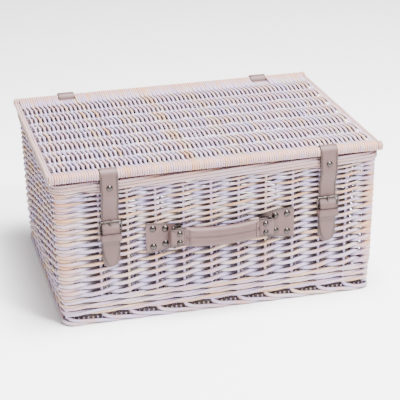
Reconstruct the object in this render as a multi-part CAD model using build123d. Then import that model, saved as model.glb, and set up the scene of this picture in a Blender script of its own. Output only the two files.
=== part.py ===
from build123d import *
import os
from math import atan2, degrees, hypot

# A wicker picnic hamper: a woven willow box with a hinged woven lid, two leather straps
# that buckle down the front and a padded leather carrying handle between them.
#
# Millimetres. The origin is the middle of the face the hamper stands on. +X is to the
# right along the front, -Y is the front and +Z is up.

# ---------------------------------------------------------------- driving dimensions

# Woven body, outside the weave. It widens towards the rim.
BASE_LENGTH = 448.0
BASE_DEPTH = 334.0
RIM_LENGTH = 460.0
RIM_DEPTH = 346.0
RIM_HEIGHT = 211.6
WALL = 10.0
CORNER_RADIUS = 16.0

# Bands of the body, from the floor up.
FOOT_TOP = 11.0
WALE_BOTTOM = 17.5
WALE_TOP = 41.5
SIDING_TOP = 198.3
RIM_PROUD = 3.0
RIM_BAND = 14.0
BASE_BOTTOM = 6.5
BASE_TOP = 16.5
EDGE_STICK_INSET = 14.0
ROD_END_DEPTH = 4.0
BORDER_PROUD = 1.0

# Upright willow rods.
STAKE_RADIUS = 1.8
STAKE_PITCH = 39.1
FRONT_STAKES = 10
FRONT_STAKE_SHIFT = 8.0
SIDE_STAKES = 8
POST_RADIUS = 4.0
POST_INSET = 8.0

# Sticks lying in the base.
BASE_STICKS = 7
BASE_STICK_RADIUS = 2.2

# Lid. The weave is rolled round a thick rod at the front and back edges.
LID_LENGTH = 470.0
ROLL_RADIUS = 6.8
ROD_RADIUS = 3.5
ROD_STANDS_OUT = 2.0
LID_FRONT_AXIS = -172.2
LID_BACK_AXIS = 170.2
LID_AXIS_HEIGHT = 221.0
LID_PANEL = 9.0
LID_STICK_RADIUS = 2.3
LID_STICK_PLACES = [0.147, 0.270, 0.390, 0.512, 0.635, 0.770, 0.890]
SIDE_ROD_RADIUS = 4.0

# Leather straps.
STRAP_WIDTH = 25.0
STRAP_PLACE = 154.0
STRAP_THICKNESS = 2.2
STRAP_BEND = 3.0
LOOP_CLEARANCE = 0.2
STRAP_SLOT = 2.6
LOOP_END_HEIGHT = 196.6
STUD_HEIGHT = 204.6

# A front strap's tail, from the stud down: it turns in to lie on the wall, goes out over
# the buckle's heel bar and through the keeper, and comes back to lie on its tab.
TAIL_GAP = 0.2
TAIL_TURN_HEIGHT = 190.8
TAIL_WALL_Y = -173.2
TAIL_WALL_TOP = 172.8
TAIL_WALL_BOTTOM = 152.7
TAIL_OVER_Y = -179.6
TAIL_OVER_TOP = 143.7
TAIL_OVER_BOTTOM = 137.1
TAIL_FLAT_Y = -174.6
TAIL_FLAT_TOP = 123.1
TAIL_END_HEIGHT = 88.4
PRONG_SLOT_WIDTH = 3.6
PRONG_SLOT_LENGTH = 12.0
PRONG_SLOT_HEIGHT = 147.2

# A back strap's tail, which is the lid's hinge.
HINGE_TURN_HEIGHT = 194.8
HINGE_WALL_TOP = 180.8
HINGE_TAIL_Y = 174.2
HINGE_END_HEIGHT = 154.8

# Buckles.
WIRE = 1.4
WIRE_CLEARANCE = 0.2
FRAME_CORNER = 2.0
HEEL_HEIGHT = 140.2
TOP_BAR_HEIGHT = 154.2
HEEL_Y = -174.7
TOP_BAR_Y = -176.0
FRAME_HALF_WIDTH = 14.9
PRONG_RADIUS = 1.1
PRONG_EYE_RADIUS = 2.8
PRONG_EYE_LENGTH = 4.0
PRONG_EYE_CLEARANCE = 0.15
PRONG_OVERHANG = 2.2
PRONG_CLEARANCE = 0.3
TAB_THICKNESS = 1.8
TAB_END_HEIGHT = 86.4
TAB_GAP_WIDTH = 5.2
TAB_GAP_LENGTH = 12.0
KEEPER_BOTTOM = 126.6
KEEPER_TOP = 137.6
KEEPER_THICKNESS = 1.8
KEEPER_FRONT = -181.2

# Carrying handle.
PLATE_THICKNESS = 2.5
PLATE_BACK = -171.4
PLATE_INNER = 74.0
PLATE_INNER_LOW, PLATE_INNER_HIGH = 103.2, 141.2
PLATE_OUTER = 105.5
PLATE_OUTER_LOW, PLATE_OUTER_HIGH = 98.4, 145.4
PLATE_CORNER = 3.0
FOLD_THICKNESS = 2.0
RING_INNER_X = 57.5
RING_OUTER_X = 70.0
RING_HEIGHT = 29.8
RING_CORNER = 2.5
TONGUE_HEIGHT = 24.4
HANDLE_Z = 122.4
HANDLE_Y = -182.4
GRIP_HALF_LENGTH = 52.0
GRIP_HEIGHT = 26.0
GRIP_THICKNESS = 12.0
GRIP_SAG = 4.0
LOBE_FULLNESS = 1.08
END_LOOP_HEIGHT = 25.0

# Domed rivets.
RIVET_RADIUS = 4.8
STUD_RADIUS = 4.4
END_RIVET_RADIUS = 4.1
RIVET_DOME = 3.0
RIVET_TAIL = 1.4
SHANK_RADIUS = 1.5
WASHER_RADIUS = 4.5
WASHER_THICKNESS = 1.2
WASHER_CLEARANCE = 0.2
PLATE_RIVETS = [(95.5, 135.6), (95.5, 109.2), (78.5, 134.2), (78.5, 112.0)]
END_RIVETS = [(61.0, 128.8), (61.0, 116.0)]
HINGE_RIVETS = [174.8, 162.8]
TAB_RIVETS = [98.0, 112.0]

SIDES = {"left": -1, "right": 1}

# Longer than anything a cutting or keeping shape has to pass through.
THROUGH = 500.0


# ---------------------------------------------------------------- shared geometry

def widen(z):
    """How far each wall has moved outwards at a height, above the base."""
    return (RIM_LENGTH - BASE_LENGTH) / 2 * z / RIM_HEIGHT


def half_length(z):
    return BASE_LENGTH / 2 + widen(z)


def half_depth(z):
    return BASE_DEPTH / 2 + widen(z)


def outline(z, grow=0.0):
    """The body's rounded rectangle at a height, moved outwards by grow."""
    radius = max(CORNER_RADIUS + grow, POST_RADIUS)
    length = 2 * (half_length(z) + grow)
    depth = 2 * (half_depth(z) + grow)
    return Plane.XY.offset(z) * RectangleRounded(length, depth, radius)


def band(bottom, top, proud=0.0, thickness=WALL):
    """A closed ring of the tapering wall between two heights."""
    outer = loft([outline(bottom, proud), outline(top, proud)])
    inner = loft([outline(bottom - 1, proud - thickness), outline(top + 1, proud - thickness)])
    return outer - inner


def rod(start, end, radius):
    """A round rod between two points."""
    axis = Vector(*end) - Vector(*start)
    section = Plane(origin=start, z_dir=axis) * Circle(radius)
    return extrude(section, amount=axis.length)


def strip(path, thickness, centre_x, width):
    """A leather strip whose middle line lies in a YZ plane, spread along X."""
    line = Polyline(*path) if len(path) == 2 else FilletPolyline(*path, radius=STRAP_BEND)
    side_view = trace(line, line_width=thickness)
    solid = extrude(Plane.YZ * side_view, amount=width / 2, both=True)
    return Pos(centre_x, 0, 0) * solid


def dome_rivet(x, y, z, outward, length, radius=RIVET_RADIUS):
    """A domed head standing on the leather at y, with its shank running back into the wall."""
    sphere_radius = (radius**2 + RIVET_DOME**2) / (2 * RIVET_DOME)
    head = Sphere(sphere_radius) & Pos(0, 0, sphere_radius) * Box(THROUGH, THROUGH, 2 * RIVET_DOME)
    head = Pos(0, 0, RIVET_DOME - sphere_radius) * head
    shank = Pos(0, 0, -length / 2) * Cylinder(SHANK_RADIUS, length)
    place = Plane(origin=(x, y, z), z_dir=(0, outward, 0))
    return place * (head + shank)


def rivet_holes(places):
    """Holes for rivet shanks, right through along Y, at places in X and Z."""
    return [Pos(x, 0, z) * Rot(90, 0, 0) * Cylinder(SHANK_RADIUS, THROUGH) for x, z in places]


def washer(x, y, z):
    """A flat washer inside the wall, round a rivet's shank."""
    place = Plane(origin=(x, y, z), z_dir=(0, 1, 0))
    ring = Cylinder(WASHER_RADIUS, WASHER_THICKNESS) - Cylinder(SHANK_RADIUS, 2 * WASHER_THICKNESS)
    return place * ring


def front_inside(z):
    return -half_depth(z) + WALL


# ---------------------------------------------------------------- woven body

def foot_border():
    return band(0, FOOT_TOP, proud=BORDER_PROUD, thickness=WALL + BORDER_PROUD)


def lower_wale():
    return band(WALE_BOTTOM, WALE_TOP, proud=BORDER_PROUD, thickness=WALL + BORDER_PROUD)


def siding():
    return band(WALE_TOP, SIDING_TOP)


def rim_border():
    return band(SIDING_TOP, RIM_HEIGHT, proud=RIM_PROUD, thickness=RIM_BAND)


def stake_places():
    """Where the stakes stand, as a side's direction and a place along it."""
    places = []
    for side in (-1, 1):
        for i in range(FRONT_STAKES):
            along = FRONT_STAKE_SHIFT + STAKE_PITCH * (i - (FRONT_STAKES - 1) / 2)
            places.append(("y", side, along))
        for i in range(SIDE_STAKES):
            along = STAKE_PITCH * (i - (SIDE_STAKES - 1) / 2)
            places.append(("x", side, along))
    return places


def side_stakes():
    stakes = []
    low, high = FOOT_TOP / 2, RIM_HEIGHT - ROD_END_DEPTH
    for direction, side, along in stake_places():
        if direction == "y":
            start = (along, side * (half_depth(low) - WALL / 2), low)
            end = (along, side * (half_depth(high) - WALL / 2), high)
        else:
            start = (side * (half_length(low) - WALL / 2), along, low)
            end = (side * (half_length(high) - WALL / 2), along, high)
        stakes.append(rod(start, end, STAKE_RADIUS))
    return Compound(children=stakes)


def corner_posts():
    posts = []
    low, high = FOOT_TOP / 2, RIM_HEIGHT - ROD_END_DEPTH
    for sx in (-1, 1):
        for sy in (-1, 1):
            start = (sx * (half_length(low) - POST_INSET), sy * (half_depth(low) - POST_INSET), low)
            end = (sx * (half_length(high) - POST_INSET), sy * (half_depth(high) - POST_INSET), high)
            posts.append(rod(start, end, POST_RADIUS))
    return Compound(children=posts)


def base_weave():
    """The woven floor, which fills the foot border's ring."""
    length = 2 * (half_length(0) - WALL)
    depth = 2 * (half_depth(0) - WALL)
    slab = Plane.XY.offset(BASE_BOTTOM) * RectangleRounded(length, depth, CORNER_RADIUS - WALL)
    return extrude(slab, amount=BASE_TOP - BASE_BOTTOM)


def base_sticks():
    reach = half_length(0) - WALL - 1
    spread = half_depth(0) - WALL - EDGE_STICK_INSET
    z = (BASE_BOTTOM + BASE_TOP) / 2
    sticks = []
    for i in range(BASE_STICKS):
        y = spread * (2 * i / (BASE_STICKS - 1) - 1)
        sticks.append(rod((-reach, y, z), (reach, y, z), BASE_STICK_RADIUS))
    return Compound(children=sticks)


# ---------------------------------------------------------------- lid

def roll(y):
    """The weave's roll at one edge of the lid."""
    half = LID_LENGTH / 2 - ROD_STANDS_OUT
    return rod((-half, y, LID_AXIS_HEIGHT), (half, y, LID_AXIS_HEIGHT), ROLL_RADIUS)


def strap_slots():
    """The round gaps in the lid's weave that the four leather loops pass through."""
    slots = []
    for place in (-STRAP_PLACE, STRAP_PLACE):
        for y in (LID_FRONT_AXIS, LID_BACK_AXIS):
            across = Plane(origin=(place, y, LID_AXIS_HEIGHT), z_dir=(1, 0, 0))
            slots.append(across * Cylinder(ROLL_RADIUS + STRAP_SLOT, STRAP_WIDTH + 1))
    return slots


def lid_weave():
    length = LID_LENGTH - 4 * SIDE_ROD_RADIUS - 1
    depth = LID_BACK_AXIS - LID_FRONT_AXIS
    middle = (LID_BACK_AXIS + LID_FRONT_AXIS) / 2
    panel = Pos(0, middle, LID_AXIS_HEIGHT) * Box(length, depth, LID_PANEL)
    woven = panel + roll(LID_FRONT_AXIS) + roll(LID_BACK_AXIS)
    for slot in strap_slots():
        woven -= slot
    # Inside the leather loops the rolls stay whole.
    woven += roll(LID_FRONT_AXIS) + roll(LID_BACK_AXIS)
    return woven - lid_rod(LID_FRONT_AXIS) - lid_rod(LID_BACK_AXIS)


def lid_rod(y):
    """The thick rod inside a roll. Its ends stand out a little."""
    half = LID_LENGTH / 2
    return rod((-half, y, LID_AXIS_HEIGHT), (half, y, LID_AXIS_HEIGHT), ROD_RADIUS)


def lid_sticks():
    depth = LID_BACK_AXIS - LID_FRONT_AXIS
    reach = LID_LENGTH / 2 - 2 * SIDE_ROD_RADIUS
    sticks = []
    for share in LID_STICK_PLACES:
        y = LID_BACK_AXIS - share * depth
        start = (-reach, y, LID_AXIS_HEIGHT)
        end = (reach, y, LID_AXIS_HEIGHT)
        sticks.append(rod(start, end, LID_STICK_RADIUS))
    return Compound(children=sticks)


def lid_side_rods():
    front = LID_FRONT_AXIS + ROLL_RADIUS
    back = LID_BACK_AXIS - ROLL_RADIUS
    rods = []
    for side in SIDES.values():
        x = side * (LID_LENGTH / 2 - SIDE_ROD_RADIUS)
        start = (x, front, LID_AXIS_HEIGHT)
        end = (x, back, LID_AXIS_HEIGHT)
        rods.append(rod(start, end, SIDE_ROD_RADIUS))
    return Compound(children=rods)


# ---------------------------------------------------------------- straps and buckles

def leather_ring(x, y):
    """A strap's closed turn round one of the lid's rolls."""
    inner = ROLL_RADIUS + LOOP_CLEARANCE
    ring = Cylinder(inner + STRAP_THICKNESS, STRAP_WIDTH) - Cylinder(inner, 2 * STRAP_WIDTH)
    return Plane(origin=(x, y, LID_AXIS_HEIGHT), z_dir=(1, 0, 0)) * ring


def loop_front():
    """How far forward the front straps' loops reach."""
    return LID_FRONT_AXIS - ROLL_RADIUS - LOOP_CLEARANCE - STRAP_THICKNESS


def strap_layer(x, y, top):
    """One layer of a front strap's loop, hanging down to the loop's end."""
    drop = top - LOOP_END_HEIGHT
    return Pos(x, y, LOOP_END_HEIGHT + drop / 2) * Box(STRAP_WIDTH, STRAP_THICKNESS, drop)


def strap_loop(side):
    """The top of a front strap: round the lid's front roll, then two layers down past the stud."""
    x = side * STRAP_PLACE
    front_y = loop_front() + STRAP_THICKNESS / 2
    front_layer = strap_layer(x, front_y, LID_AXIS_HEIGHT)
    back_top = LID_AXIS_HEIGHT - ROLL_RADIUS - LOOP_CLEARANCE
    back_layer = strap_layer(x, front_y + STRAP_THICKNESS, back_top)
    loop = leather_ring(x, LID_FRONT_AXIS) + front_layer + back_layer
    return loop - rivet_holes([(x, STUD_HEIGHT)])


def strap_stud(side):
    x = side * STRAP_PLACE
    return dome_rivet(x, loop_front(), STUD_HEIGHT, -1, 2 * STRAP_THICKNESS, STUD_RADIUS)


def strap_tail(side):
    """The long end of a strap, which goes through the buckle and the keeper."""
    x = side * STRAP_PLACE
    top_y = loop_front() + STRAP_THICKNESS / 2
    path = [
        (top_y, LOOP_END_HEIGHT - TAIL_GAP),
        (top_y, TAIL_TURN_HEIGHT),
        (TAIL_WALL_Y, TAIL_WALL_TOP),
        (TAIL_WALL_Y, TAIL_WALL_BOTTOM),
        (TAIL_OVER_Y, TAIL_OVER_TOP),
        (TAIL_OVER_Y, TAIL_OVER_BOTTOM),
        (TAIL_FLAT_Y, TAIL_FLAT_TOP),
        (TAIL_FLAT_Y, TAIL_END_HEIGHT),
    ]
    leather = strip(path, STRAP_THICKNESS, x, STRAP_WIDTH - 2 * TAIL_GAP)
    slot = Pos(x, TAIL_OVER_Y, PRONG_SLOT_HEIGHT) * Box(PRONG_SLOT_WIDTH, THROUGH, PRONG_SLOT_LENGTH)
    return (leather & tongue_cutter(x)) - slot


def tongue_cutter(x):
    """What a strap's tail is trimmed to: straight sides and a round end."""
    half = STRAP_WIDTH / 2
    outline_2d = Rectangle(STRAP_WIDTH, THROUGH, align=(Align.CENTER, Align.MIN)) + Circle(half)
    return extrude(Plane.XZ * Pos(x, TAIL_END_HEIGHT + half) * outline_2d, amount=THROUGH)


def buckle_frame(side):
    """A rectangular wire frame, tilted so that its top bar stands in front of the strap."""
    rise = TOP_BAR_HEIGHT - HEEL_HEIGHT
    lean = TOP_BAR_Y - HEEL_Y
    height = hypot(rise, lean)
    path = Plane.XZ * FilletPolyline(
        (-FRAME_HALF_WIDTH, 0),
        (FRAME_HALF_WIDTH, 0),
        (FRAME_HALF_WIDTH, height),
        (-FRAME_HALF_WIDTH, height),
        close=True,
        radius=FRAME_CORNER,
    )
    section = Plane.YZ * Circle(WIRE)
    frame = sweep(section, path=path)
    tilt = degrees(atan2(-lean, rise))
    return Pos(side * STRAP_PLACE, HEEL_Y, HEEL_HEIGHT) * Rot(tilt, 0, 0) * frame


def on_heel_bar(side, radius, length):
    """A cylinder round a buckle's heel bar."""
    x = side * STRAP_PLACE
    return Plane(origin=(x, HEEL_Y, HEEL_HEIGHT), z_dir=(1, 0, 0)) * Cylinder(radius, length)


def buckle_prong(side):
    """The prong: an eye on the heel bar and a pin that rests on the top bar."""
    x = side * STRAP_PLACE
    eye = on_heel_bar(side, PRONG_EYE_RADIUS, PRONG_EYE_LENGTH)
    eye -= on_heel_bar(side, WIRE + PRONG_EYE_CLEARANCE, THROUGH)
    rest_y = TOP_BAR_Y - WIRE - PRONG_CLEARANCE - PRONG_RADIUS
    heel = Vector(x, HEEL_Y, HEEL_HEIGHT)
    rest = Vector(x, rest_y, TOP_BAR_HEIGHT)
    reach = (rest - heel).normalized() * PRONG_OVERHANG
    start, end = tuple(heel + reach), tuple(rest + reach)
    return eye + rod(start, end, PRONG_RADIUS) + Pos(*end) * Sphere(PRONG_RADIUS)


def tab_eye_bore():
    return WIRE + WIRE_CLEARANCE


def tab_back():
    """The face of a tab that lies against the wall."""
    return HEEL_Y + tab_eye_bore() + TAB_THICKNESS


def buckle_tab(side):
    """The strap fixed to the hamper, rolled into an eye round the buckle's heel bar."""
    x = side * STRAP_PLACE
    drop = HEEL_HEIGHT - TAB_END_HEIGHT
    middle = Pos(x, tab_back() - TAB_THICKNESS / 2, TAB_END_HEIGHT + drop / 2)
    tab = middle * Box(STRAP_WIDTH, TAB_THICKNESS, drop)
    tab += on_heel_bar(side, tab_eye_bore() + TAB_THICKNESS, STRAP_WIDTH)
    tab -= on_heel_bar(side, tab_eye_bore(), THROUGH)
    # The prong's eye turns in a gap in the middle.
    tab -= Pos(x, HEEL_Y, HEEL_HEIGHT + 1) * Box(TAB_GAP_WIDTH, 4 * TAB_GAP_WIDTH, TAB_GAP_LENGTH)
    return tab - rivet_holes([(x, z) for z in TAB_RIVETS])


def keeper(side):
    """A leather band across the strap, stitched to the tab's two edges."""
    height = KEEPER_TOP - KEEPER_BOTTOM
    inner_depth = tab_back() - KEEPER_FRONT
    outer_depth = inner_depth + KEEPER_THICKNESS
    outer = Box(STRAP_WIDTH + 2 * KEEPER_THICKNESS, outer_depth, height)
    outer = Pos(0, tab_back() - outer_depth / 2, 0) * outer
    # The band is open at the back, where the tab closes it.
    inner = Pos(0, tab_back() - inner_depth / 2, 0) * Box(STRAP_WIDTH, inner_depth + 0.01, THROUGH)
    return Pos(side * STRAP_PLACE, 0, (KEEPER_TOP + KEEPER_BOTTOM) / 2) * (outer - inner)


def tab_rivets():
    """Flush rivets that hold the two tabs to the wall, under the straps."""
    front = tab_back() - TAB_THICKNESS
    rivets = []
    for side in SIDES.values():
        for z in TAB_RIVETS:
            x = side * STRAP_PLACE
            end = (x, front_inside(z) + RIVET_TAIL, z)
            rivets.append(rod((x, front, z), end, SHANK_RADIUS))
    return Compound(children=rivets)


def hinge_strap(side):
    """A back strap: a loop that the lid's back roll turns in, and a tail down the back wall."""
    x = side * STRAP_PLACE
    tail_y = LID_BACK_AXIS + ROLL_RADIUS + LOOP_CLEARANCE + STRAP_THICKNESS / 2
    path = [
        (tail_y, LID_AXIS_HEIGHT),
        (tail_y, HINGE_TURN_HEIGHT),
        (HINGE_TAIL_Y, HINGE_WALL_TOP),
        (HINGE_TAIL_Y, HINGE_END_HEIGHT),
    ]
    tail = strip(path, STRAP_THICKNESS, x, STRAP_WIDTH)
    return leather_ring(x, LID_BACK_AXIS) + tail - rivet_holes([(x, z) for z in HINGE_RIVETS])


def hinge_rivets():
    rivets = []
    for side in SIDES.values():
        for z in HINGE_RIVETS:
            back = HINGE_TAIL_Y + STRAP_THICKNESS / 2
            length = back - (half_depth(z) - WALL) + RIVET_TAIL
            rivets.append(dome_rivet(side * STRAP_PLACE, back, z, 1, length))
    return Compound(children=rivets)


# ---------------------------------------------------------------- carrying handle

def handle_plate(side):
    """The leather plate that is riveted to the front wall."""
    points = [
        (PLATE_INNER, PLATE_INNER_LOW),
        (PLATE_OUTER, PLATE_OUTER_LOW),
        (PLATE_OUTER, PLATE_OUTER_HIGH),
        (PLATE_INNER, PLATE_INNER_HIGH),
    ]
    face = make_face(Polyline(*points, close=True))
    face = fillet(face.vertices().group_by(Axis.X)[-1], radius=PLATE_CORNER)
    plate = extrude(Plane.XZ * face, amount=PLATE_THICKNESS)
    plate = Pos(0, PLATE_BACK, 0) * plate - rivet_holes(PLATE_RIVETS)
    return plate if side > 0 else mirror(plate, about=Plane.YZ)


def handle_tongue(side):
    """The plate's narrow end, free of the wall and rolled round the ring's inner bar."""
    low, high = HANDLE_Z - TONGUE_HEIGHT / 2, HANDLE_Z + TONGUE_HEIGHT / 2
    points = [
        (PLATE_INNER, PLATE_INNER_LOW),
        (PLATE_INNER, PLATE_INNER_HIGH),
        (RING_INNER_X, high),
        (RING_INNER_X, low),
    ]
    face = make_face(Polyline(*points, close=True))
    tongue = Pos(0, PLATE_BACK, 0) * extrude(Plane.XZ * face, amount=FOLD_THICKNESS)
    eye = Pos(RING_INNER_X, ring_inner_y(), HANDLE_Z)
    tongue += eye * Cylinder(ring_bore() + FOLD_THICKNESS, TONGUE_HEIGHT)
    tongue -= eye * Cylinder(ring_bore(), THROUGH)
    return tongue if side > 0 else mirror(tongue, about=Plane.YZ)


def ring_bore():
    """The inside of the leather folds that hold a ring's bars."""
    return WIRE + WIRE_CLEARANCE


def ring_inner_y():
    return PLATE_BACK - ring_bore() - FOLD_THICKNESS


def handle_ring(side):
    """A rectangular wire ring between the tongue and the handle's end loop."""
    run = RING_OUTER_X - RING_INNER_X
    lean = HANDLE_Y - ring_inner_y()
    length = hypot(run, lean)
    half = RING_HEIGHT / 2
    corners = [(0, -half), (length, -half), (length, half), (0, half)]
    path = Plane.XZ * FilletPolyline(*corners, close=True, radius=RING_CORNER)
    section = Plane(origin=(length / 2, 0, -half), z_dir=(1, 0, 0)) * Circle(WIRE)
    ring = Rot(0, 0, degrees(atan2(lean, run))) * sweep(section, path=path)
    ring = Pos(RING_INNER_X, ring_inner_y(), HANDLE_Z) * ring
    return ring if side > 0 else mirror(ring, about=Plane.YZ)


def handle_end(side):
    """The leather loop at a handle's end, folded round the ring's outer bar."""
    slot = 2 * ring_bore()
    thickness = slot + 2 * FOLD_THICKNESS
    outer_x = RING_OUTER_X + thickness / 2
    length = outer_x - GRIP_HALF_LENGTH
    body = Box(length, thickness, END_LOOP_HEIGHT)
    body = Pos(outer_x - length / 2, HANDLE_Y, HANDLE_Z) * body
    rounded = body.edges().filter_by(Axis.Z).group_by(Axis.X)[-1]
    body = fillet(rounded, radius=thickness / 2 - 0.1)
    fold = Pos(RING_OUTER_X - slot, HANDLE_Y, HANDLE_Z) * Box(2 * slot, slot, THROUGH)
    fold += Pos(RING_OUTER_X, HANDLE_Y, HANDLE_Z) * Cylinder(slot / 2, THROUGH)
    end = body - fold - rivet_holes(END_RIVETS)
    return end if side > 0 else mirror(end, about=Plane.YZ)


def handle_end_rivets():
    rivets = []
    half = ring_bore() + FOLD_THICKNESS
    for side in SIDES.values():
        for x, z in END_RIVETS:
            head = HANDLE_Y - half
            rivets.append(dome_rivet(side * x, head, z, -1, 2 * half, END_RIVET_RADIUS))
    return Compound(children=rivets)


def handle_grip():
    """The padded grip: two soft lobes side by side, sagging a little in the middle."""
    lobe = GRIP_HEIGHT / 4
    lobe_shape = Ellipse(GRIP_THICKNESS / 2, lobe * LOBE_FULLNESS)
    path = ThreePointArc(
        (-GRIP_HALF_LENGTH, HANDLE_Y, HANDLE_Z),
        (0, HANDLE_Y, HANDLE_Z - GRIP_SAG),
        (GRIP_HALF_LENGTH, HANDLE_Y, HANDLE_Z),
    )
    start = Plane(origin=path @ 0, x_dir=(0, 1, 0), z_dir=path % 0)
    section = start * (Pos(0, lobe) * lobe_shape + Pos(0, -lobe) * lobe_shape)
    grip = sweep(section, path=path)
    return grip & Pos(0, HANDLE_Y, HANDLE_Z) * Box(2 * GRIP_HALF_LENGTH, THROUGH, THROUGH)


def handle_plate_rivets():
    rivets = []
    face_y = PLATE_BACK - PLATE_THICKNESS
    for side in SIDES.values():
        for x, z in PLATE_RIVETS:
            length = front_inside(z) + RIVET_TAIL - face_y
            rivets.append(dome_rivet(side * x, face_y, z, -1, length))
    return Compound(children=rivets)


def rivet_washers():
    """Washers inside the walls, one for every rivet that passes through the weave."""
    places = []
    for side in SIDES.values():
        places += [(side * x, z, -1) for x, z in PLATE_RIVETS]
        places += [(side * STRAP_PLACE, z, -1) for z in TAB_RIVETS]
        places += [(side * STRAP_PLACE, z, 1) for z in HINGE_RIVETS]
    washers = []
    for x, z, wall in places:
        inside = half_depth(z) - WALL - WASHER_CLEARANCE - WASHER_THICKNESS / 2
        washers.append(washer(x, wall * inside, z))
    return Compound(children=washers)


# ---------------------------------------------------------------- the assembly

def assembly():
    """Every node of the hamper by name."""
    nodes = {
        "base_weave": base_weave(),
        "base_sticks": base_sticks(),
        "foot_border": foot_border(),
        "lower_wale": lower_wale(),
        "siding": siding(),
        "side_stakes": side_stakes(),
        "corner_posts": corner_posts(),
        "rim_border": rim_border(),
        "lid_weave": lid_weave(),
        "lid_sticks": lid_sticks(),
        "lid_front_rod": lid_rod(LID_FRONT_AXIS),
        "lid_back_rod": lid_rod(LID_BACK_AXIS),
        "lid_side_rods": lid_side_rods(),
        "hinge_rivets": hinge_rivets(),
        "tab_rivets": tab_rivets(),
        "handle_grip": handle_grip(),
        "handle_end_rivets": handle_end_rivets(),
        "handle_plate_rivets": handle_plate_rivets(),
        "rivet_washers": rivet_washers(),
    }
    for name, side in SIDES.items():
        nodes["hinge_strap_" + name] = hinge_strap(side)
        nodes["strap_loop_" + name] = strap_loop(side)
        nodes["strap_stud_" + name] = strap_stud(side)
        nodes["strap_tail_" + name] = strap_tail(side)
        nodes["buckle_frame_" + name] = buckle_frame(side)
        nodes["buckle_prong_" + name] = buckle_prong(side)
        nodes["buckle_tab_" + name] = buckle_tab(side)
        nodes["keeper_" + name] = keeper(side)
        nodes["handle_plate_" + name] = handle_plate(side)
        nodes["handle_tongue_" + name] = handle_tongue(side)
        nodes["handle_ring_" + name] = handle_ring(side)
        nodes["handle_end_" + name] = handle_end(side)
    return nodes


os.makedirs("parts", exist_ok=True)
for node, shape in assembly().items():
    export_step(shape, "parts/" + node + ".step")
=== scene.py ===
import math

import bpy
import numpy as np
from mathutils import Matrix, Vector


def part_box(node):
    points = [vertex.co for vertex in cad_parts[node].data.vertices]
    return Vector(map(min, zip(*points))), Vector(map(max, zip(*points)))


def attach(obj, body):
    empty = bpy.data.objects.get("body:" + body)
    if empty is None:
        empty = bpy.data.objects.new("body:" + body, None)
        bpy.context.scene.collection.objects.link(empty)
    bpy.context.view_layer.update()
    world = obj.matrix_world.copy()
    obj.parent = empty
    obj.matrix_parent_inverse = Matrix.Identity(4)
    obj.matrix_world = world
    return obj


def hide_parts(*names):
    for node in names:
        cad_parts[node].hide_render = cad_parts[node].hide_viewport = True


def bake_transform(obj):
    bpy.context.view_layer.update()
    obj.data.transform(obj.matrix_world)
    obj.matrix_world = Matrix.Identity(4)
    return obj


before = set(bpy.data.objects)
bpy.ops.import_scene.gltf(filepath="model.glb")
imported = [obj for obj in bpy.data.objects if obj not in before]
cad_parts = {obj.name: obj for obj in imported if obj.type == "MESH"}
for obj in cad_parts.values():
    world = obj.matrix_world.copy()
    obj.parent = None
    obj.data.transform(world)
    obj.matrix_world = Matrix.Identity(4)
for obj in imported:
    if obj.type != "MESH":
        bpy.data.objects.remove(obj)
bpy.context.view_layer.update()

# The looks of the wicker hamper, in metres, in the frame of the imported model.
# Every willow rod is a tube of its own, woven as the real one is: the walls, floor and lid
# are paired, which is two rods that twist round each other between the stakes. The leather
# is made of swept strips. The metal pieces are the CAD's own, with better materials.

RANDOM = np.random.default_rng(46)
TURN = 2 * math.pi
MM = 0.001
# The two sides, and which way each lies from the middle.
SIDES = {"left": -1, "right": 1}

# ------------ sizes taken from the frame

SIDING_LOW, SIDING_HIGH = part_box("siding")
WALE_LOW, WALE_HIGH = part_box("lower_wale")
FOOT_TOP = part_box("foot_border")[1].z
RIM_LOW, RIM_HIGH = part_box("rim_border")
BASE_LOW, BASE_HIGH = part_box("base_weave")
BASE_STICKS_LOW, BASE_STICKS_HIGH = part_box("base_sticks")
FRONT_ROD_LOW, FRONT_ROD_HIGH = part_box("lid_front_rod")
BACK_ROD_LOW, BACK_ROD_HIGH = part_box("lid_back_rod")
LID_STICKS_LOW, LID_STICKS_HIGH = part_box("lid_sticks")
SIDE_RODS_LOW, SIDE_RODS_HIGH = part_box("lid_side_rods")
STRAP_LOW, STRAP_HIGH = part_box("strap_loop_left")

# The wale and foot stand this far proud of the siding.
WALE_PROUD = 1.0 * MM
WALL = 10.0 * MM
CORNER_RADIUS = 16.0 * MM

# Willow. The siding's rods are thickest at the bottom.
STAKE_RADIUS = 1.8 * MM
POST_RADIUS = 4.0 * MM
STAKE_PITCH = 39.1 * MM
FRONT_STAKES = 10
FRONT_STAKE_SHIFT = 8.0 * MM
SIDE_STAKES = 8
SIDING_ROWS = 17
SIDING_COURSES = 4
SIDING_LOWEST_PITCH = 12.0 * MM
# How much of its share of a row each rod fills; the rest is the dark gaps.
ROD_FULLNESS = 0.93
WALE_ROWS = 3
WALE_ROD_RADIUS = 2.1 * MM
WALE_BOTTOM = WALE_LOW.z - 3.5 * MM
FOOT_ROD_RADIUS = 2.6 * MM
FOOT_BEND = 12.0 * MM
BINDING_PITCH = 6.6 * MM
RIM_ROD_RADIUS = 2.25 * MM
# How much a rod is flattened where it lies against the stakes.
SQUASH = 0.88

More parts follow.
